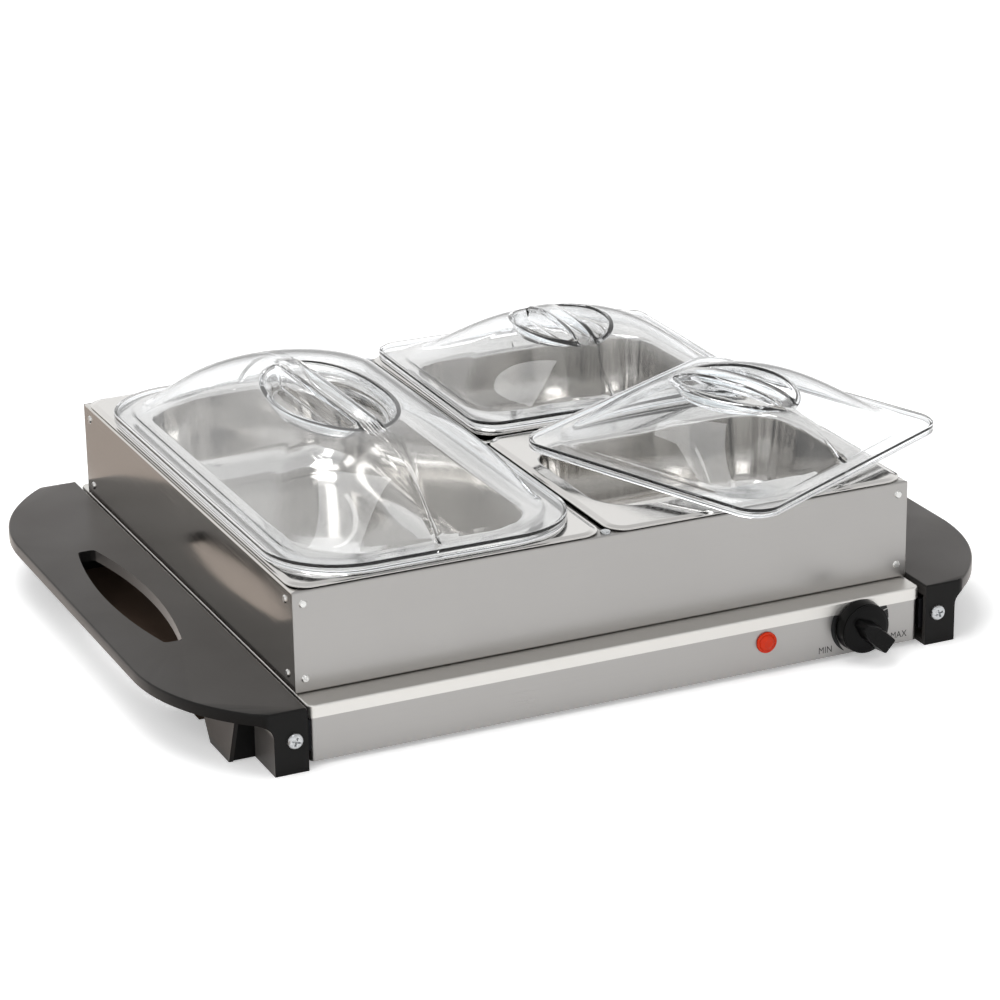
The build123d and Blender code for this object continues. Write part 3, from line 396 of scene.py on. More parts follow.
class DialSizes(bpy.types.PropertyGroup):
    centre: length("Dial", "Place of the knob's axis along X and Z", 149.2, 20.1)
    rest_turn: angle("Rest turn", "Where the grip points", -42)
    arc: length("Arc", "Outer radius of the tapered scale", 17.7)
    blocks: length("Blocks", "Outer radius of the broad blocks", 20.3)
    letters: length("Letters", "Height of the scale's letters", 4)


class Finishes(bpy.types.PropertyGroup):
    steel: hex_colour("Steel", "Colour of the brushed panels, sRGB hex", "a8a6a4")
    pan_steel: hex_colour("Pan steel", "Colour of the polished pans, sRGB hex", "d3d1ce")
    handle: hex_colour("Handle", "Colour of the handle mouldings, sRGB hex", "0e0e0e")
    lens: hex_colour("Lens", "Colour of the pilot lamp, sRGB hex", "cf2f0a")


# ---------------------------------------------------------------- pressed pans
def pan_rings(sizes, half_x, half_y, well):
    """Rings of a pressed sheet's upper face, from the edge of the band to the floor.

    Going inwards the face is the edge band, a slope up to the flange with rounded foot and crest,
    the flange, a rounded brim, the well's leaning wall, its rounded foot and the floor.
    """
    shares = corner_shares(PAN_CORNER, PAN_SIDE)
    crest = 1.6 * MM
    least_corner = 6 * MM

    # Each pair is how far a ring lies inside the rim, and its height over the flange.
    top = -sizes.step + sizes.sheet + sizes.lift
    lean = math.atan2(-top, sizes.slope)
    turn = crest * math.tan(lean / 2)
    crest_x = sizes.band + sizes.slope
    outer = [
        (0, top - 0.35 * MM),
        (0.1 * MM, top - 0.08 * MM),
        (0.35 * MM, top),
        (sizes.band - 0.3 * MM, top),
        (sizes.band, top + 0.06 * MM),
        (sizes.band + 0.35 * MM, top + 0.3 * MM),
    ]
    for share in np.linspace(0, 1, 5):
        a = lean * (1 - share)
        outer.append((crest_x + turn - crest * math.sin(a), -crest * (1 - math.cos(a))))
    outer.append((crest_x + turn + 0.6 * MM, 0))
    rings = [
        ring(shares, half_x - inset, half_y - inset, sizes.corner - inset, height)
        for inset, height in outer
    ]

    # From here on a ring lies inside the outline of the well.
    well_x, well_y, well_corner = well[0] / 2, well[1] / 2, well[2]
    brim, bottom, draft = sizes.brim, sizes.bottom, sizes.draft
    inner = [(-brim - 0.6 * MM, 0)]
    for a in np.linspace(0, math.pi / 2 - draft, 7):
        inner.append((-brim + brim * math.sin(a), -brim * (1 - math.cos(a))))
    floor = -(sizes.depth - sizes.sheet)
    foot = floor + bottom * (1 - math.sin(draft))
    wall_x, wall_z = inner[-1]
    for share in (0.03, 0.5, 0.97):
        z = wall_z + (foot - wall_z) * share
        inner.append((wall_x + (wall_z - z) * math.tan(draft), z))
    foot_x = wall_x + (wall_z - foot) * math.tan(draft) + bottom * math.cos(draft)
    for a in np.linspace(draft, math.pi / 2, 10):
        inner.append((foot_x - bottom * math.cos(a), floor + bottom - bottom * math.sin(a)))
    inner.append((foot_x + 0.8 * MM, floor))
    for inset, height in inner:
        corner = max(well_corner - inset, least_corner)
        rings.append(ring(shares, well_x - inset, well_y - inset, corner, height))
    return np.stack(rings)


def pan_mesh(sizes, name, well, material):
    """The pressed face of one pan, closed at its floor, with the sheet's thickness below it."""
    low, high = (np.array(corner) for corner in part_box(name))
    half = (high - low) / 2
    centre = (high + low) / 2
    rings = pan_rings(sizes, half[0], half[1], well)
    rows, columns = rings.shape[:2]
    points = np.vstack([rings.reshape(-1, 3), [(0, 0, rings[-1, 0, 2])]])
    faces = grid_faces(rows, columns, closed=True)
    pole = len(points) - 1
    last = pole - columns
    faces += [(last + k, last + (k + 1) % columns, pole) for k in range(columns)]
    points = points + (centre[0], centre[1], high[2])
    piece = put_mesh(name + "_pressing", points, faces, material, name)
    wall = piece.modifiers.new("sheet", "SOLIDIFY")
    wall.thickness = sizes.sheet
    wall.offset = -1
    return piece


class WARMER_OT_pans(bpy.types.Operator):
    """Press the three pans and hang them in the frame"""

    bl_idname = "warmer.pans"
    bl_label = "Pans"

    def execute(self, context):
        sizes = context.scene.warmer_pans
        colour = context.scene.warmer_finishes.pan_steel
        # Deep-drawn stainless, polished: soft wide reflections with faint draw lines.
        grain = (0.4, 25, 25)
        material = steel("polished_pan_stainless", colour, grain, 0.11, 0.08, 0.1, 0.05, 40)
        for name in PANS:
            well = sizes.large_well if name == "pan_large" else sizes.small_well
            piece = pan_mesh(sizes, name, tuple(well), material)
            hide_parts(name)
        return {"FINISHED"}


# ---------------------------------------------------------------- clear lids
def level_outline(share, half_x, half_y, corner, powers):
    """Half sizes and corner radius of the dome's height line at a share of its rise.

    The half width is a (1 - s)^(1 / p) and the half length b (1 - s)^(1 / q); the corner grows
    from its base radius towards the smaller of them with sqrt(s), so the lines end in ovals.
    """
    rest = np.maximum(1 - share, 0)
    reach_x = half_x * rest ** (1 / powers[0])
    reach_y = half_y * rest ** (1 / powers[1])
    least = np.minimum(reach_x, reach_y)
    round_off = corner + (least - corner) * np.sqrt(np.clip(share, 0, 1))
    return reach_x, reach_y, np.minimum(round_off, 0.99 * least)


def dome_height(x, y, half_x, half_y, corner, rise, powers, crease):
    """Height over the band of a pillow dome: the share whose height line runs through each point.

    The share is found by halving: a point is outside a line where its distance to the rounded
    rectangle is positive. Beyond the base the shares go on below zero, and a soft maximum with
    zero blends the dome into the flat band over the height of the crease.
    """
    halvings = 40
    low = np.full(np.shape(x), -0.6)
    high = np.ones(np.shape(x))
    x = np.abs(x)
    y = np.abs(y)
    for _ in range(halvings):
        middle = (low + high) / 2
        reach_x, reach_y, corner_now = level_outline(middle, half_x, half_y, corner, powers)
        over_x = x - (reach_x - corner_now)
        over_y = y - (reach_y - corner_now)
        outside = np.hypot(np.maximum(over_x, 0), np.maximum(over_y, 0)) - corner_now
        beside = np.maximum(over_x, over_y) - corner_now
        outside = np.where((over_x <= 0) & (over_y <= 0), beside, outside)
        inside = outside < 0
        low = np.where(inside, middle, low)
        high = np.where(inside, high, middle)
    height = rise * (low + high) / 2
    return (height + np.sqrt(height * height + 4 * crease * crease)) / 2


def pocket_outline(grip_x, grip_y, bar):
    """A D: half an ellipse of half sizes grip_x and grip_y cut by a line beside the bar.

    Every direction from its middle keeps the soft minimum of its distances to the line and to
    the ellipse, which rounds its two tips a little.
    """
    directions = 1440
    power = 36
    centre = (grip_x + bar / 2) / 2
    a = np.linspace(-math.pi, math.pi, directions)
    c, s = np.cos(a), np.sin(a)
    to_line = np.where(c < -1e-6, (centre - bar / 2) / np.maximum(-c, 1e-6), 1.0)
    big = (c / grip_x) ** 2 + (s / grip_y) ** 2
    half = centre * c / grip_x**2
    rest = (centre / grip_x) ** 2 - 1
    to_oval = (-half + np.sqrt(half * half - big * rest)) / big
    reach = (to_line**-power + to_oval**-power) ** (-1 / power)
    return centre, np.stack([centre + reach * c, reach * s], -1)


def reach_along(angles, centre, outline):
    """How far an outline lies from a point (centre, 0) in each direction."""
    x = outline[:, 0] - centre
    found = np.arctan2(outline[:, 1], x)
    order = np.argsort(found)
    found = found[order]
    far = np.hypot(x, outline[:, 1])[order]
    found = np.concatenate([found - 2 * math.pi, found, found + 2 * math.pi])
    return np.interp(angles, found, np.tile(far, 3))


def lid_half(sizes, plan, dome, grip, powers, wall):
    """The half of a lid's skin at positive X; wall 0 is the outside, else the inside.

    Rows of points run outwards from the pocket's lowest point up its wall, over its rim, across
    the dome to the middle line or to the dome's base, and from there over the band and down the
    lip. Each row's place is a share of the way between the pocket's outline and the boundary.
    Given back are the points, the faces and how many of the last points are the lip's foot.
    """
    half_x, half_y, corner = plan[0] / 2 - wall, plan[1] / 2 - wall, plan[2] - wall
    base_x, base_y = plan[0] / 2 - dome[0] - wall, plan[1] / 2 - dome[0] - wall
    base_corner = dome[2] - wall
    beyond_base = np.array(-0.12)
    middle_points = 122

    # The right half of the rounded rectangle, from the middle of the front to that of the rear.
    shares = corner_shares(LID_CORNER, LID_SIDE)
    start = int(np.argmin(np.hypot(shares[:, 0], shares[:, 1] + 1)))
    shares = np.roll(shares, -start, axis=0)
    shares = shares[shares[:, 0] >= -1e-9]

    outer_x, outer_y, outer_corner = (
        float(v) for v in level_outline(beyond_base, base_x, base_y, base_corner, powers)
    )
    arc = ring(shares, outer_x, outer_y, outer_corner, 0)[:, :2]
    arc[0, 0] = arc[-1, 0] = 0
    centre, outline = pocket_outline(grip[0] + wall, grip[1] + wall, sizes.bar - 2 * wall)
    first = math.atan2(outer_y, -centre)
    line_angles = np.linspace(first, 2 * math.pi - first, middle_points)[1:-1]
    line_y = -centre * np.tan(line_angles)
    boundary = np.concatenate([arc, np.stack([np.zeros_like(line_y), line_y], -1)])
    angles = np.arctan2(boundary[:, 1], boundary[:, 0] - centre)
    way = np.stack([np.cos(angles), np.sin(angles)], -1)
    far = np.hypot(boundary[:, 0] - centre, boundary[:, 1])
    rim = reach_along(angles, centre, outline)
    lift = sizes.lip - wall

    def place(reach):
        return centre + reach * way[:, 0], reach * way[:, 1]

    def top(x, y):
        """The dome, with the bar raised by a smooth step of 0.8 mm along its sides."""
        height = dome_height(x, y, base_x, base_y, base_corner, dome[1], powers, sizes.crease)
        end = np.maximum(np.abs(y) - (grip[1] - sizes.bar / 2), 0)
        beside = (sizes.bar / 2 - wall) - np.hypot(x, end)
        share = np.clip(beside / (0.8 * MM) + 0.5, 0, 1)
        return height + sizes.bar_rise * share * share * (3 - 2 * share)

    floor = dome[1] - grip[2]
    rim_height = top(*place(rim))
    rows = []
    # The pocket: a level floor, a short curve at its edge and a leaning wall up to the rim, as
    # shares of the way to the rim and of the pocket's depth.
    for share, depth in (
        (0.3, 1), (0.6, 1), (0.7, 0.996), (0.735, 0.98), (0.765, 0.94), (0.79, 0.87),
        (0.83, 0.71), (0.88, 0.49), (0.93, 0.27), (0.965, 0.13),
    ):
        z = rim_height * (1 - depth) + floor * depth
        rows.append(np.column_stack([*place(rim * share), z]))
    # The rounded rim, in mm inside and below it.
    for inset, drop in ((0.22, 0.5), (0.06, 0.2), (-0.12, 0.04)):
        rows.append(np.column_stack([*place(rim - inset * MM), rim_height - drop * MM]))
    # The dome, in shares of the way from just outside the rim to the boundary.
    begin = rim + 0.4 * MM
    for share in np.concatenate([[0, 0.012, 0.03], np.linspace(0.06, 0.94, 22), [0.965, 0.985]]):
        x, y = place(begin + (far - begin) * share)
        rows.append(np.column_stack([x, y, top(x, y)]))
    rows.append(np.column_stack([boundary, top(boundary[:, 0], boundary[:, 1])]))

    grid = np.stack(rows)
    grid[:, :, 2] += lift
    count, columns = grid.shape[:2]
    pole = count * columns
    faces = grid_faces(count, columns, closed=True)
    faces += [(pole, (k + 1) % columns, k) for k in range(columns)]

    # The band and the lip's rounded edge, in distances inside the lid's outline and heights.
    strip = [np.column_stack([arc, grid[-1, : len(arc), 2]])]
    edge = max(sizes.edge - wall, 0.2 * MM)
    for inset, height in (
        (1.4 * MM + edge, lift + 0.005 * MM),
        (edge + 0.5 * MM, lift),
        (edge, lift),
        (edge * 0.62, lift - edge * 0.08),
        (edge * 0.29, lift - edge * 0.29),
        (edge * 0.08, lift - edge * 0.62),
        (0, lift - edge),
        (0, lift - edge - 0.3 * MM),
        (0, 0),
    ):
        round_off = max(corner - inset, edge)
        strip.append(ring(shares, half_x - inset, half_y - inset, round_off, height))
    faces += grid_faces(len(strip), len(shares), start=pole + 1)
    points = [grid.reshape(-1, 3), array((centre, 0, floor + lift)), *strip]
    return np.vstack(points), faces, len(shares)


def lid_points(sizes, plan, dome, grip, powers):
    """Both skins of a lid, mirrored about its middle and joined round the foot of the lip."""
    points = []
    faces = []
    feet = []
    count = 0
    for wall in (0.0, sizes.wall):
        half, quads, foot = lid_half(sizes, plan, dome, grip, powers, wall)
        for side in (1, -1):
            # Mirrored, or on the inside, the faces run the other way round.
            order = -1 if (wall > 0) != (side < 0) else 1
            points.append(half * (side, 1, 1))
            faces += [tuple(k + count for k in quad[::order]) for quad in quads]
            count += len(half)
            feet.append(np.arange(count - foot, count))
    for outer, inner in ((0, 2), (1, 3)):
        a, b = feet[outer], feet[inner]
        faces += np.column_stack([a[:-1], a[1:], b[1:], b[:-1]]).tolist()
    return np.vstack(points), faces


def laid(points, name, turn):
    """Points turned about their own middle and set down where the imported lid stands."""
    lean = Matrix.Rotation(turn[2], 3, "Z") @ Matrix.Rotation(turn[1], 3, "Y")
    points = points @ np.array(lean @ Matrix.Rotation(turn[0], 3, "X")).T
    low, high = (np.array(corner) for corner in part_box(name))
    least, most = points.min(axis=0), points.max(axis=0)
    shift = (low + high) / 2 - (least + most) / 2
    shift[2] = low[2] - least[2]
    return points + shift


class WARMER_OT_lids(bpy.types.Operator):
    """Mould the three clear lids and lay them on their pans"""

    bl_idname = "warmer.lids"
    bl_label = "Lids"

    def execute(self, context):
        sizes = context.scene.warmer_lids
        places = context.scene.warmer_places
        material = clear_styrene("clear_polystyrene")
        small = sizes.small, sizes.small_dome, sizes.small_grip, sizes.small_powers
        large = sizes.large, sizes.large_dome, sizes.large_grip, sizes.large_powers
        for name, numbers, turn in (
            ("lid_large", large, (0, 0, 0)),
            ("lid_small_rear", small, (0, 0, places.rear_turn)),
            ("lid_small_front", small, places.askew_turn),
        ):
            points, faces = lid_points(sizes, *(tuple(each) for each in numbers))
            points = laid(points, name, tuple(turn))
            piece = put_mesh(name + "_moulding", points, faces, material, name, weld=2e-5)
            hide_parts(name)
        return {"FINISHED"}


# ---------------------------------------------------------------- handles
def slab(low, high, lean=0.0):
    """The eight corners and six faces of a plate between two corners; lean moves its upper edge
    at the second corner's Y."""
    picks = array(*[(i, j, k) for i in (0, 1) for j in (0, 1) for k in (0, 1)])
    points = np.asarray(low) * (1 - picks) + np.asarray(high) * picks
    points[:, 1] += lean * picks[:, 1] * picks[:, 2]
    faces = [(0, 1, 3, 2), (4, 6, 7, 5), (0, 4, 5, 1), (2, 3, 7, 6), (0, 2, 6, 4), (1, 5, 7, 3)]
    return points, faces


def together(bodies):
    """The points and faces of several bodies, numbered on."""
    faces = []
    count = 0
    for points, own in bodies:
        faces += [tuple(k + count for k in face) for face in own]
        count += len(points)
    return np.vstack([points for points, _ in bodies]), faces


def cut_away(piece, bodies):
    """Takes the space of closed bodies away from a piece."""
    tool = put_mesh("cutter", *together(bodies), piece.data.materials[0], "base")
    step = piece.modifiers.new("cut", "BOOLEAN")
    step.operation = "DIFFERENCE"
    step.solver = "EXACT"
    step.object = tool
    bpy.context.view_layer.update()
    shown = piece.evaluated_get(bpy.context.evaluated_depsgraph_get())
    mesh = bpy.data.meshes.new_from_object(shown)
    piece.modifiers.clear()
    piece.data = mesh
    bpy.data.objects.remove(tool)
    mesh.shade_smooth()
    mesh.set_sharp_from_angle(angle=math.radians(50))


def add_plates(piece, bodies):
    """Adds closed plates with flat faces to a piece's mesh."""
    points, faces = together(bodies)
    plates = bpy.data.meshes.new("plates")
    plates.from_pydata(points.tolist(), [], faces)
    plates.shade_flat()
    work = bmesh.new()
    work.from_mesh(piece.data)
    count = len(work.faces)
    work.from_mesh(plates)
    work.faces.ensure_lookup_table()
    bmesh.ops.recalc_face_normals(work, faces=work.faces[count:])
    work.to_mesh(piece.data)
    work.free()
    bpy.data.meshes.remove(plates)


class WARMER_OT_handles(bpy.types.Operator):
    """Mould the two handles with their legs and the webs between leg and column"""

    bl_idname = "warmer.handles"
    bl_label = "Handles"

    def execute(self, context):
        sizes = context.scene.warmer_handles
        colour = context.scene.warmer_finishes.handle
        # Polypropylene from a spark-eroded tool: nearly black, with a dull bloom at a low angle.
        material = moulded("textured_polypropylene", colour, 0.36, 0.35, 0.012, 0.12, dust=1.0)
        for name in ("handle_left", "handle_right"):
            packed = frame["nodes"][name].data
            points = np.empty(len(packed.vertices) * 3)
            packed.vertices.foreach_get("co", points)
            points = points.reshape(-1, 3)
            faces = [tuple(face.vertices) for face in packed.polygons]
            low, high = points.min(axis=0), points.max(axis=0)
            side = 1 if high[0] > 0 else -1
            inner = low[0] if side > 0 else high[0]
            middle, half = (low[1] + high[1]) / 2, (high[1] - low[1]) / 2
            webs = []
            cutters = []
            for end in (-1, 1):
                near, back, before, toe = (
                    middle + end * (half - deep)
                    for deep in (
                        sizes.toe + 0.3 * MM, sizes.toe + sizes.leg_wall, -5 * MM, sizes.toe
                    )
                )
                # A web behind the leg's toe closes the gap to its column.
                x = sorted(inner + side * d for d in (sizes.column - 0.5 * MM, sizes.leg))
                y = sorted((near, back))
                webs.append(slab((x[0], y[0], 0.4 * MM), (x[1], y[1], sizes.under + 0.5 * MM)))
                # A leg's front edge runs from its toe on the ground to its head under the plate.
                x = sorted(inner + side * (sizes.leg + d * sizes.leg_wall) for d in (-0.7, 0.7))
                foot = (x[0], before, -0.05 * MM)
                head = (x[1], toe, sizes.under + 0.02 * MM)
                cutters.append(slab(foot, head, end * (sizes.toe - sizes.head)))
            piece = put_mesh(name + "_moulding", points, faces, material, "base", weld=5e-6)
            cut_away(piece, cutters)
            add_plates(piece, webs)
            even = piece.modifiers.new("even", "WEIGHTED_NORMAL")
            even.keep_sharp = True
            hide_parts(name)
        return {"FINISHED"}


# ---------------------------------------------------------------- pilot lamp
def turned(profile, sides, centre):
    """A closed body turned about an axis along Y: profile gives radii and distances before the
    centre in mm, from pole to pole; every second ring of few sides is turned by half a side."""
    rings = []
    for k, (radius, out) in enumerate(profile[1:-1]):
        a = (np.arange(sides) + k % 2 / 2 * (sides < 20)) * 2 * math.pi / sides
        across, rise = radius * MM * np.cos(a), radius * MM * np.sin(a)
        rings.append(
            np.column_stack(
                [centre[0] + across, np.full(sides, centre[1] - out * MM), centre[2] + rise]
            )
        )
    ends = (profile[0][1], profile[-1][1])
    poles = [(centre[0], centre[1] - out * MM, centre[2]) for out in ends]
    return stacked(np.stack(rings), poles)


class WARMER_OT_lamp(bpy.types.Operator):
    """Cut the facets of the pilot lamp's lens"""

    bl_idname = "warmer.lamp"
    bl_label = "Pilot lamp"

    def execute(self, context):
        low, high = (np.array(corner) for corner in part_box("lamp_lens"))
        centre = (low + high) / 2
        centre[1] = PANEL_Y
        # Radii and distances before the panel, in mm: the round bezel, then the twelve-sided lens.
        bezel = ((0, 0), (6.3, 0), (6.3, 0.85), (6.2, 1.2), (6, 1.42))
        bezel += ((5.6, 1.57), (5.3, 1.6), (5.05, 1.5), (4.9, 1.3), (0, 1.2))
        cut = ((0, 0.9), (4.85, 0.9), (4.85, 1.35), (4.1, 2.2), (2.6, 2.95), (1.3, 2.7), (0, 2.55))
        # Tinted polycarbonate, moulded with facets: orange red, cloudy where it is thick.
        material = blank("tinted_polycarbonate_lens")
        speck = pattern(material, (1.2, 1.2, 1.2), 2.0)
        colours = linear(context.scene.warmer_finishes.lens), linear("d2320c")
        settings = {"Roughness": 0.16, "IOR": 1.45, "Specular IOR Level": 0.25}
        shaded(material, speck, (0.3, 0.7), colours, settings, {})
        rim = put_mesh("pilot_lamp_bezel", *turned(bezel, 48, centre), material, "base")
        lens = turned(cut, 12, centre)
        piece = put_mesh("pilot_lamp_lens", *lens, material, "base", smooth=False)
        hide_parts("lamp_lens")
        return {"FINISHED"}


# ---------------------------------------------------------------- knob
def rounded_polygon(corners, cut, steps=5):
    """A polygon whose corners are parabolas between the points that lie cut before and after."""
    corners = array(*corners)
    before = np.roll(corners, 1, axis=0) - corners
    after = np.roll(corners, -1, axis=0) - corners
    first = corners + before / np.linalg.norm(before, axis=1)[:, None] * cut
    last = corners + after / np.linalg.norm(after, axis=1)[:, None] * cut
    t = np.linspace(0, 1, steps)[None, :, None]
    bend = 2 * t * (1 - t) * corners[:, None]
    curve = (1 - t) ** 2 * first[:, None] + bend + t * t * last[:, None]
    return curve.reshape(-1, 2)


class WARMER_OT_knob(bpy.types.Operator):
    """Mould the knob: a grooved disc with a hexagonal wedge to grip"""

    bl_idname = "warmer.knob"
    bl_label = "Knob"

    def execute(self, context):
        sizes = context.scene.warmer_dial
        low, high = (np.array(corner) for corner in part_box("knob"))
        centre = array(sizes.centre[0], high[1], sizes.centre[1])
        # Radii and distances before the knob's back, in mm: skirt, groove, bevelled disc.
        disc = ((0, 0), (14.9, 0), (15.35, 0.25), (15.4, 0.7), (14.8, 7.1), (14.6, 7.4))
        disc += ((14.1, 7.45), (14.1, 7.95), (14.55, 8.05), (14.6, 8.4), (14.3, 8.75))
        disc += ((12.5, 9.5), (12.2, 9.6), (0, 9.6))
        # The grip: a hexagon that shrinks a little from its foot to its rounded top. It points
        # along X, and every size is in mm.
        left = ((-9.9, -2.3), (-0.5, -5.9), (13.6, -5.9))
        foot = rounded_polygon(left + tuple((x, -y) for x, y in left[::-1]), 1.2)
        left = ((-9.3, -1.2), (-1.1, -4.8), (13.3, -4.8))
        top = rounded_polygon(left + tuple((x, -y) for x, y in left[::-1]), 1.2)
        middle = array(2.5, 0)
        start = 9.2
        height = (high[1] - low[1]) / MM
        # Distances below the top and insets of its rounding.
        edge = ((0.5, 0), (0.35, 0.04), (0.15, 0.14), (0.03, 0.3), (0, 0.5), (0, 0.7))
        rings = []
        for out, inset in ((start, 0), *((height - drop, inset) for drop, inset in edge)):
            share = (out - start) / (height - start)
            plan = foot * (1 - share) + top * share
            plan = plan + (middle - plan) / np.linalg.norm(middle - plan, axis=1)[:, None] * inset
            rings.append(np.column_stack([plan, np.full(len(plan), out)]))
        grip, quads = stacked(np.stack(rings), [(*middle, start), (*middle, height)])
        way = sizes.rest_turn
        along = grip[:, 0] * math.cos(way) - grip[:, 1] * math.sin(way)
        rise = grip[:, 0] * math.sin(way) + grip[:, 1] * math.cos(way)
        grip = centre + np.column_stack([along, -grip[:, 2], rise]) * MM
        # Black ABS from a spark-eroded tool: a dull gloss.
        material = moulded("moulded_abs", "060606", 0.3, 0.4, 0.006, 0.12)
        piece = put_mesh("knob_disc", *turned(disc, 96, centre), material, "knob", sharp=25)
        bar = put_mesh("knob_grip", grip, quads, material, "knob", sharp=25)
        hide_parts("knob")
        return {"FINISHED"}


# ---------------------------------------------------------------- dial
def printed_strip(centre, turns, thick, reach, y):
    """A thin print round the dial's centre: at every turn it fills thick inwards from reach."""
    way = np.stack([np.cos(turns), np.sin(turns)], -1)
    points = np.zeros((2, len(turns), 3))
    points[:, :, 1] = y
    for row, distance in enumerate((reach - thick[:, None], reach)):
        points[row][:, [0, 2]] = centre + way * distance
    return points.reshape(-1, 3), grid_faces(2, len(turns))


def faces_out(piece):
    """Turns a flat print's faces towards the front."""
    work = bmesh.new()
    work.from_mesh(piece.data)
    wrong = [face for face in work.faces if face.normal.y > 0]
    bmesh.ops.reverse_faces(work, faces=wrong)
    work.to_mesh(piece.data)
    work.free()


class WARMER_OT_dial(bpy.types.Operator):
    """Print the scale and its two words beside the knob"""

    bl_idname = "warmer.dial"
    bl_label = "Dial"

    def execute(self, context):
        sizes = context.scene.warmer_dial
        y = PANEL_Y - 0.04 * MM
        # Screen-printed ink: matt black with slightly uneven cover.
        material = moulded("screen_printed_ink", "1b1b1c", 0.55, 0.4, 0.004, 0.4)
        # The arc swells from a hairline to a band, over 87 degrees; then come three blocks.
        turns = np.radians(np.linspace(239, 152, 40))
        thick = np.interp(np.linspace(0, 1, 40), [0, 0.25, 1], [0.4, 2.2, 3.4]) * MM
        strips = [printed_strip(sizes.centre, turns, thick, sizes.arc, y)]
        for first, last in ((28.7, 17.5), (15.7, -0.6), (-2.8, -14)):
            turns = np.radians(np.linspace(first, last, 8))
            thick = np.full(8, 5 * MM)
            strips.append(printed_strip(sizes.centre, turns, thick, sizes.blocks, y))
        pieces = [put_mesh("dial_scale", *together(strips), material, "base")]
        # Each word with its middle and its foot in mm; capitals are 0.7 of the type's size high.
        for word, x, z in (("MIN", 128, 5.7), ("MAX", 176.5, 6.2)):
            name = "dial_" + word.lower()
            curve = bpy.data.curves.new(name, "FONT")
            curve.body = word
            curve.align_x = "CENTER"
            curve.size = sizes.letters / 0.7
            curve.space_character = 1.05
            written = bpy.data.objects.new("dial_word", curve)
            context.scene.collection.objects.link(written)
            context.view_layer.update()
            mesh = bpy.data.meshes.new_from_object(written)
            bpy.data.objects.remove(written)
            flat = np.empty(len(mesh.vertices) * 3)
            mesh.vertices.foreach_get("co", flat)
            flat = flat.reshape(-1, 3)
            narrow = 0.86
            upright = np.column_stack(
                [flat[:, 0] * narrow + x * MM, np.full(len(flat), y), flat[:, 1] + z * MM]
            )
            faces = [tuple(face.vertices) for face in mesh.polygons]
            pieces.append(
                put_mesh(name, upright, faces, material, "base", smooth=False, weld=1e-7)
            )
        for piece in pieces:
            faces_out(piece)
        return {"FINISHED"}


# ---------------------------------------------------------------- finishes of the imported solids
class WARMER_OT_finishes(bpy.types.Operator):
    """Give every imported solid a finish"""

    bl_idname = "warmer.finishes"
    bl_label = "Finishes"

    def execute(self, context):
        colour = context.scene.warmer_finishes.steel
        made = bpy.data.materials
        along_x, along_y = (60, 0.35, 0.35), (0.35, 60, 0.35)
        # Brushed 430 stainless: even satin with marks along the sheet.
        front = steel("brushed_stainless_along_width", colour, along_x, 0.34, 0.25, 0, 0.03)
        # The same sheet on the side panels, less worn by the belt, so nearly a mirror.
        sides = steel("brushed_stainless_along_depth", "cbc9c5", along_y, 0.12, 0.12, 0.05)
        # The warming plate, brushed more coarsely: pale and dull.
        top = steel("brushed_stainless_plate", "dbd9d5", along_x, 0.4, 0.25, 0, 0.03)
        # Rolled bright sheet with no direction in it: clear reflections, faintly clouded.
        bright = steel("polished_stainless", "cfcecb", (4, 4, 4), 0.12, 0.1)
        by_slot = {
            "brushed_stainless": front,
            "polished_stainless": bright,
            "pan_stainless": bright,
            # Hot-dip galvanised sheet: blue grey with cloudy patches.
            "galvanised_steel": plated("galvanised_sheet", "a9adb0", 0.38, 6.0, contrast=0.35),
            # Bright zinc on screws and nuts: shiny, a little mottled.
            "zinc_steel": plated("bright_zinc_plate", "c4c6c8", 0.22, 1.2),
            # Drawn aluminium rivets: nearly white and smooth.
            "rivet_aluminium": plated("drawn_aluminium", "dcdcda", 0.25, 1.5, contrast=0.1),
            # The element's sheath, heated in use: brown grey, blotched.
            "element_steel": plated("nickel_steel_sheath", "6f6a66", 0.4, 2.0, contrast=0.4),
            # The reflector's rolled foil: bright and evenly silver.
            "reflector_aluminium": plated(
                "rolled_aluminium_reflector", "d4d5d6", 0.2, 8.0, contrast=0.1
            ),
            "black_plastic": made["textured_polypropylene"],
            "knob_plastic": made["moulded_abs"],
            "lamp_plastic": made["tinted_polycarbonate_lens"],
            "red_lens": made["tinted_polycarbonate_lens"],
            # Pressed bakelite: dark brown with a low gloss.
            "bakelite": moulded("pressed_bakelite", "241c18", 0.35, 1.0, 0.01),
            # Glass-fibre felt: cream, matt and hairy.
            "glass_fibre": moulded(
                "glass_fibre_felt", "cfc9b8", 0.95, 1.6, 0.4, 0.1, fleck=0.15
            ),
            # Fired steatite: off-white, dull and close-grained.
            "white_ceramic": moulded("fired_steatite", "ece8df", 0.55, 0.8, 0.02, fleck=0.05),
            "clear_plastic": made["clear_polystyrene"],
        }
        by_node = {
            "frame_left": sides,
            "frame_right": sides,
            "warming_plate": top,
            # Moulded nylon: black with a soft gloss.
            "cord_gland": moulded("nylon_bushing", "121213", 0.45, 0.8, 0.008, 0.3),
            # The brackets' near-black plating is painted shade, to keep the gap to the housing
            # dark.
            "handle_brackets": plated("near_black_plate_painted_shade", "1c1c1e", 0.45, 2.0),
        }
        slots = {part["node"]: part["material_slot"] for part in frame["record"]["subparts"]}
        for name, solid in frame["nodes"].items():
            chosen = by_node.get(name) or by_slot.get(slots[name])
            if chosen is None:
                raise RuntimeError("no finish for " + name)
            if not solid.data.materials:
                solid.data.materials.append(chosen)
            for slot in solid.material_slots:
                slot.material = chosen
        return {"FINISHED"}


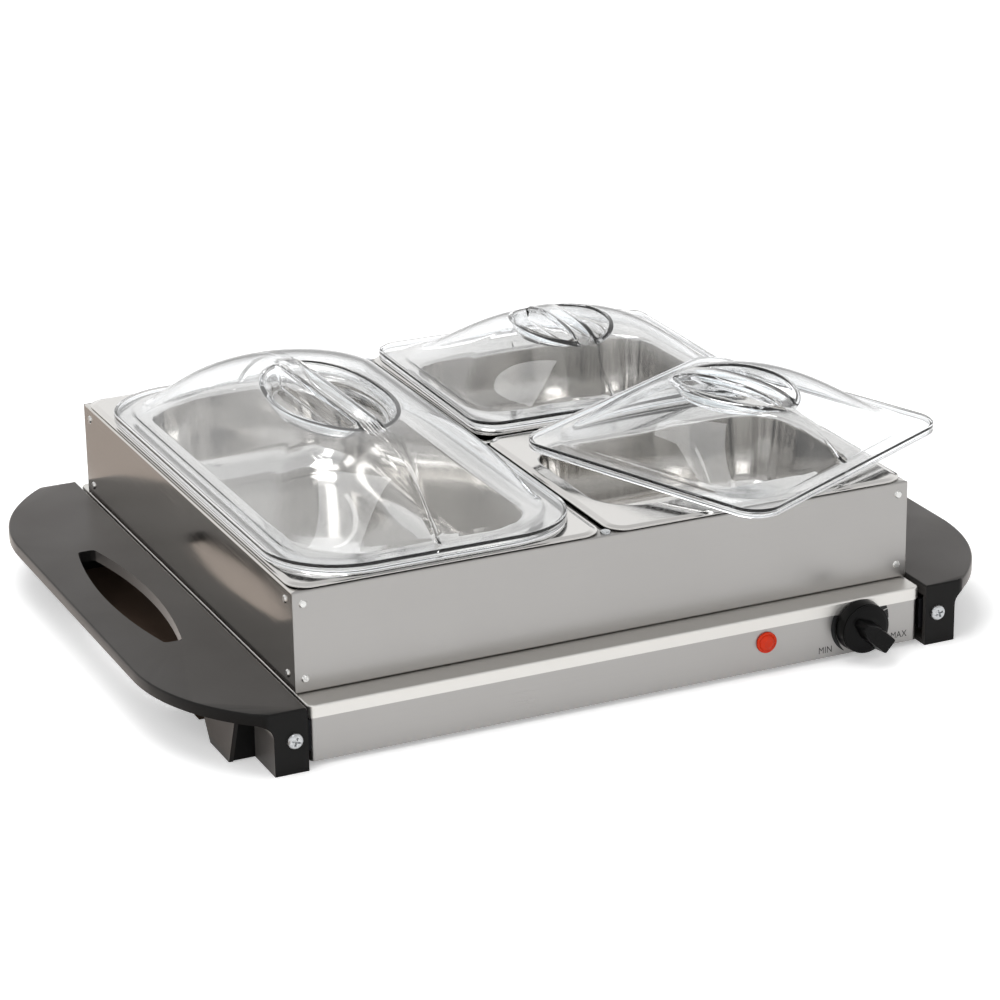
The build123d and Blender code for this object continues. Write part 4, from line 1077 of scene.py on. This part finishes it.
# ---------------------------------------------------------------- stage
def stage_sheet(name, west, east, south, north, height, material):
    """A level sheet of the stage between four limits, in metres."""
    corners = [(west, south), (east, south), (east, north), (west, north)]
    mesh = bpy.data.meshes.new(name)
    mesh.from_pydata([(x, y, height) for x, y in corners], [], [(0, 1, 2, 3)])
    mesh.materials.append(material)
    piece = bpy.data.objects.new(name, mesh)
    bpy.context.scene.collection.objects.link(piece)
    return piece


def card(name, limits, colour, strength=1.0):
    """A studio card that only reflections show: paper at its own level, a darker card of painted
    shade at its own level, or a lamp.
    """
    material = blank(name + "_card")
    light = {"Color": linear(colour), "Strength": strength}
    shader = node(material, "ShaderNodeEmission", light)
    node(material, "ShaderNodeOutputMaterial", {}, {"Surface": shader})
    piece = stage_sheet(name, *limits, material)
    piece.visible_camera = False
    piece.visible_diffuse = False
    piece.visible_shadow = False
    piece.visible_volume_scatter = False


def softbox(name, place, target, size, power):
    """A square softbox at a place, facing a target; its shape doesn't show in reflections."""
    light = bpy.data.lights.new(name, "AREA")
    light.shape = "RECTANGLE"
    light.size, light.size_y = size
    light.energy = power
    piece = bpy.data.objects.new(name, light)
    bpy.context.scene.collection.objects.link(piece)
    piece.location = place
    piece.rotation_euler = (Vector(target) - Vector(place)).to_track_quat("-Z", "Y").to_euler()
    piece.visible_glossy = False


def seen_straight(material, path):
    """1 where the camera looks at a thing itself or through clear plastic only, else 0."""
    less = {"operation": "SUBTRACT", "use_clamp": True}
    rays = {0: path.outputs["Is Transmission Ray"], 1: path.outputs["Glossy Depth"]}
    through = node(material, "ShaderNodeMath", less, rays)
    rays = {0: path.outputs["Is Camera Ray"], 1: through}
    return node(material, "ShaderNodeMath", {"operation": "MAXIMUM"}, rays)


def set_camera(scene):
    """The camera at EYE, turned right by the yaw, down by the pitch and over by the roll."""
    yaw, pitch, roll = (math.radians(v) for v in (YAW, PITCH, ROLL))
    level = math.cos(pitch)
    ahead = Vector((math.sin(yaw) * level, math.cos(yaw) * level, -math.sin(pitch)))
    right = ahead.cross(Vector((0, 0, 1))).normalized()
    up = right.cross(ahead)
    right, up = (
        right * math.cos(roll) + up * math.sin(roll),
        -right * math.sin(roll) + up * math.cos(roll),
    )
    data = bpy.data.cameras.new("camera")
    data.sensor_width = SENSOR
    data.lens = FOCAL_SHARE * SENSOR
    data.clip_end = 50
    camera = bpy.data.objects.new("camera", data)
    scene.collection.objects.link(camera)
    facing = Matrix((right, up, -ahead)).transposed().to_4x4()
    camera.matrix_world = Matrix.Translation(EYE) @ facing
    scene.camera = camera


def set_floor():
    """Matt white paper, lifted to white where the camera sees it, so that it keeps shadows."""
    material = blank("matt_paper_floor")
    seen = seen_straight(material, node(material, "ShaderNodeLightPath"))
    glow = node(material, "ShaderNodeMapRange", span(0, 1, 0, 0.34), {"Value": seen})
    paper = {"Base Color": linear("fbfbfb"), "Roughness": 0.9, "Specular IOR Level": 0.0}
    paper["Emission Color"] = linear("ffffff")
    shader = node(material, "ShaderNodeBsdfPrincipled", paper, {"Emission Strength": glow})
    node(material, "ShaderNodeOutputMaterial", {}, {"Surface": shader})
    far = 30.0
    stage_sheet("floor", -far, far, -far, far, 0, material)


def set_world(scene):
    """White where the camera or a lid looks at it, a fair grey as light on matt surfaces, and for
    reflections bright towards the horizon and dimmer overhead like a ceiling."""
    world = bpy.data.worlds.new("studio")
    world.use_nodes = True
    scene.world = world
    world.node_tree.nodes.clear()
    path = node(world, "ShaderNodeLightPath")
    place = node(world, "ShaderNodeTexCoord").outputs["Generated"]
    height = node(world, "ShaderNodeSeparateXYZ", {}, {"Vector": place}).outputs["Z"]
    ceiling = node(world, "ShaderNodeMapRange", span(0.4, 0.72, 1.12, 0.75), {"Value": height})
    once = {"operation": "MINIMUM", 1: 1.0}
    mirror = node(world, "ShaderNodeMath", once, {0: path.outputs["Glossy Depth"]})
    glossy = node(world, "ShaderNodeMix", {"A": 0.62}, {"Factor": mirror, "B": ceiling})
    links = {"Factor": seen_straight(world, path), "A": glossy}
    level = node(world, "ShaderNodeMix", {"B": 1.0}, links)
    sky = node(
        world, "ShaderNodeBackground", {"Color": linear("ffffff")}, {"Strength": level}
    )
    node(world, "ShaderNodeOutputWorld", {}, {"Surface": sky})


class WARMER_OT_stage(bpy.types.Operator):
    """Set the camera, the pale floor and the soft studio light"""

    bl_idname = "warmer.stage"
    bl_label = "Stage"

    def execute(self, context):
        context.scene.view_settings.view_transform = "Standard"
        set_camera(context.scene)
        set_floor()
        set_world(context.scene)
        softbox("softbox_overhead", (-0.4, 0.3, 2.2), (0, 0, 0.1), (1.6, 1.2), 22)
        softbox("softbox_left", (-1.8, -1.0, 1.5), (0, 0, 0.1), (1.0, 1.4), 12)
        # A dark brown mat under the left handle, inside the outline: it shows through the hand
        # hole.
        # Its brown is a table's, and its darkness painted shade: the table in the tray's shadow.
        felt = moulded("painted_shade_brown_mat", "4a3d34", 0.9, 1.5, 0.2, 0.1)
        stage_sheet("mat", -0.222, 0.18, -0.1, 0.17, 0.0004, felt)
        # Pale paper on the left gives the side panels something warm to mirror.
        card("paper_left", (-1.6, -0.3, -1.4, 1.6, 0.004), "efe8e3")
        # The darker card beside the handle is painted shade: the floor in the handle's shadow.
        card("painted_shade_floor_left", (-0.3, -0.222, -0.3, 0.6, 0.004), "b9aea6")
        # Two narrow lamps overhead draw bright lines in the pans and along the lids.
        for name, x in (("strip_near", -0.9), ("strip_far", -0.35)):
            card(name, (x, x + 0.07, -1.6, 0.4, 2.0), "ffffff", 5.0)
        return {"FINISHED"}


class WARMER_PT_panel(bpy.types.Panel):
    """The tray's pieces and sizes in the sidebar"""

    bl_idname = "WARMER_PT_panel"
    bl_label = "Food warmer tray"
    bl_space_type = "VIEW_3D"
    bl_region_type = "UI"
    bl_category = "Warmer"

    def draw(self, context):
        for operator in PIECES:
            self.layout.operator(operator.bl_idname)
        for group in GROUPS:
            box = self.layout.box()
            for name in GROUPS[group].__annotations__:
                box.prop(getattr(context.scene, group), name)


PIECES = (
    WARMER_OT_pans,
    WARMER_OT_lids,
    WARMER_OT_handles,
    WARMER_OT_lamp,
    WARMER_OT_knob,
    WARMER_OT_dial,
    WARMER_OT_finishes,
    WARMER_OT_stage,
)
GROUPS = {
    "warmer_pans": PanSizes,
    "warmer_lids": LidSizes,
    "warmer_places": LidPlaces,
    "warmer_handles": HandleSizes,
    "warmer_dial": DialSizes,
    "warmer_finishes": Finishes,
}


def register():
    for kind in (*GROUPS.values(), *PIECES, WARMER_PT_panel):
        bpy.utils.register_class(kind)
    for name, kind in GROUPS.items():
        setattr(bpy.types.Scene, name, bpy.props.PointerProperty(type=kind))


def unregister():
    for name in GROUPS:
        delattr(bpy.types.Scene, name)
    for kind in (*GROUPS.values(), *PIECES, WARMER_PT_panel):
        bpy.utils.unregister_class(kind)


def main():
    register()
    bpy.ops.warmer.pans()
    bpy.ops.warmer.lids()
    bpy.ops.warmer.handles()
    bpy.ops.warmer.lamp()
    bpy.ops.warmer.knob()
    bpy.ops.warmer.dial()
    bpy.ops.warmer.finishes()
    bpy.ops.warmer.stage()


if __name__ == "__main__":
    main()
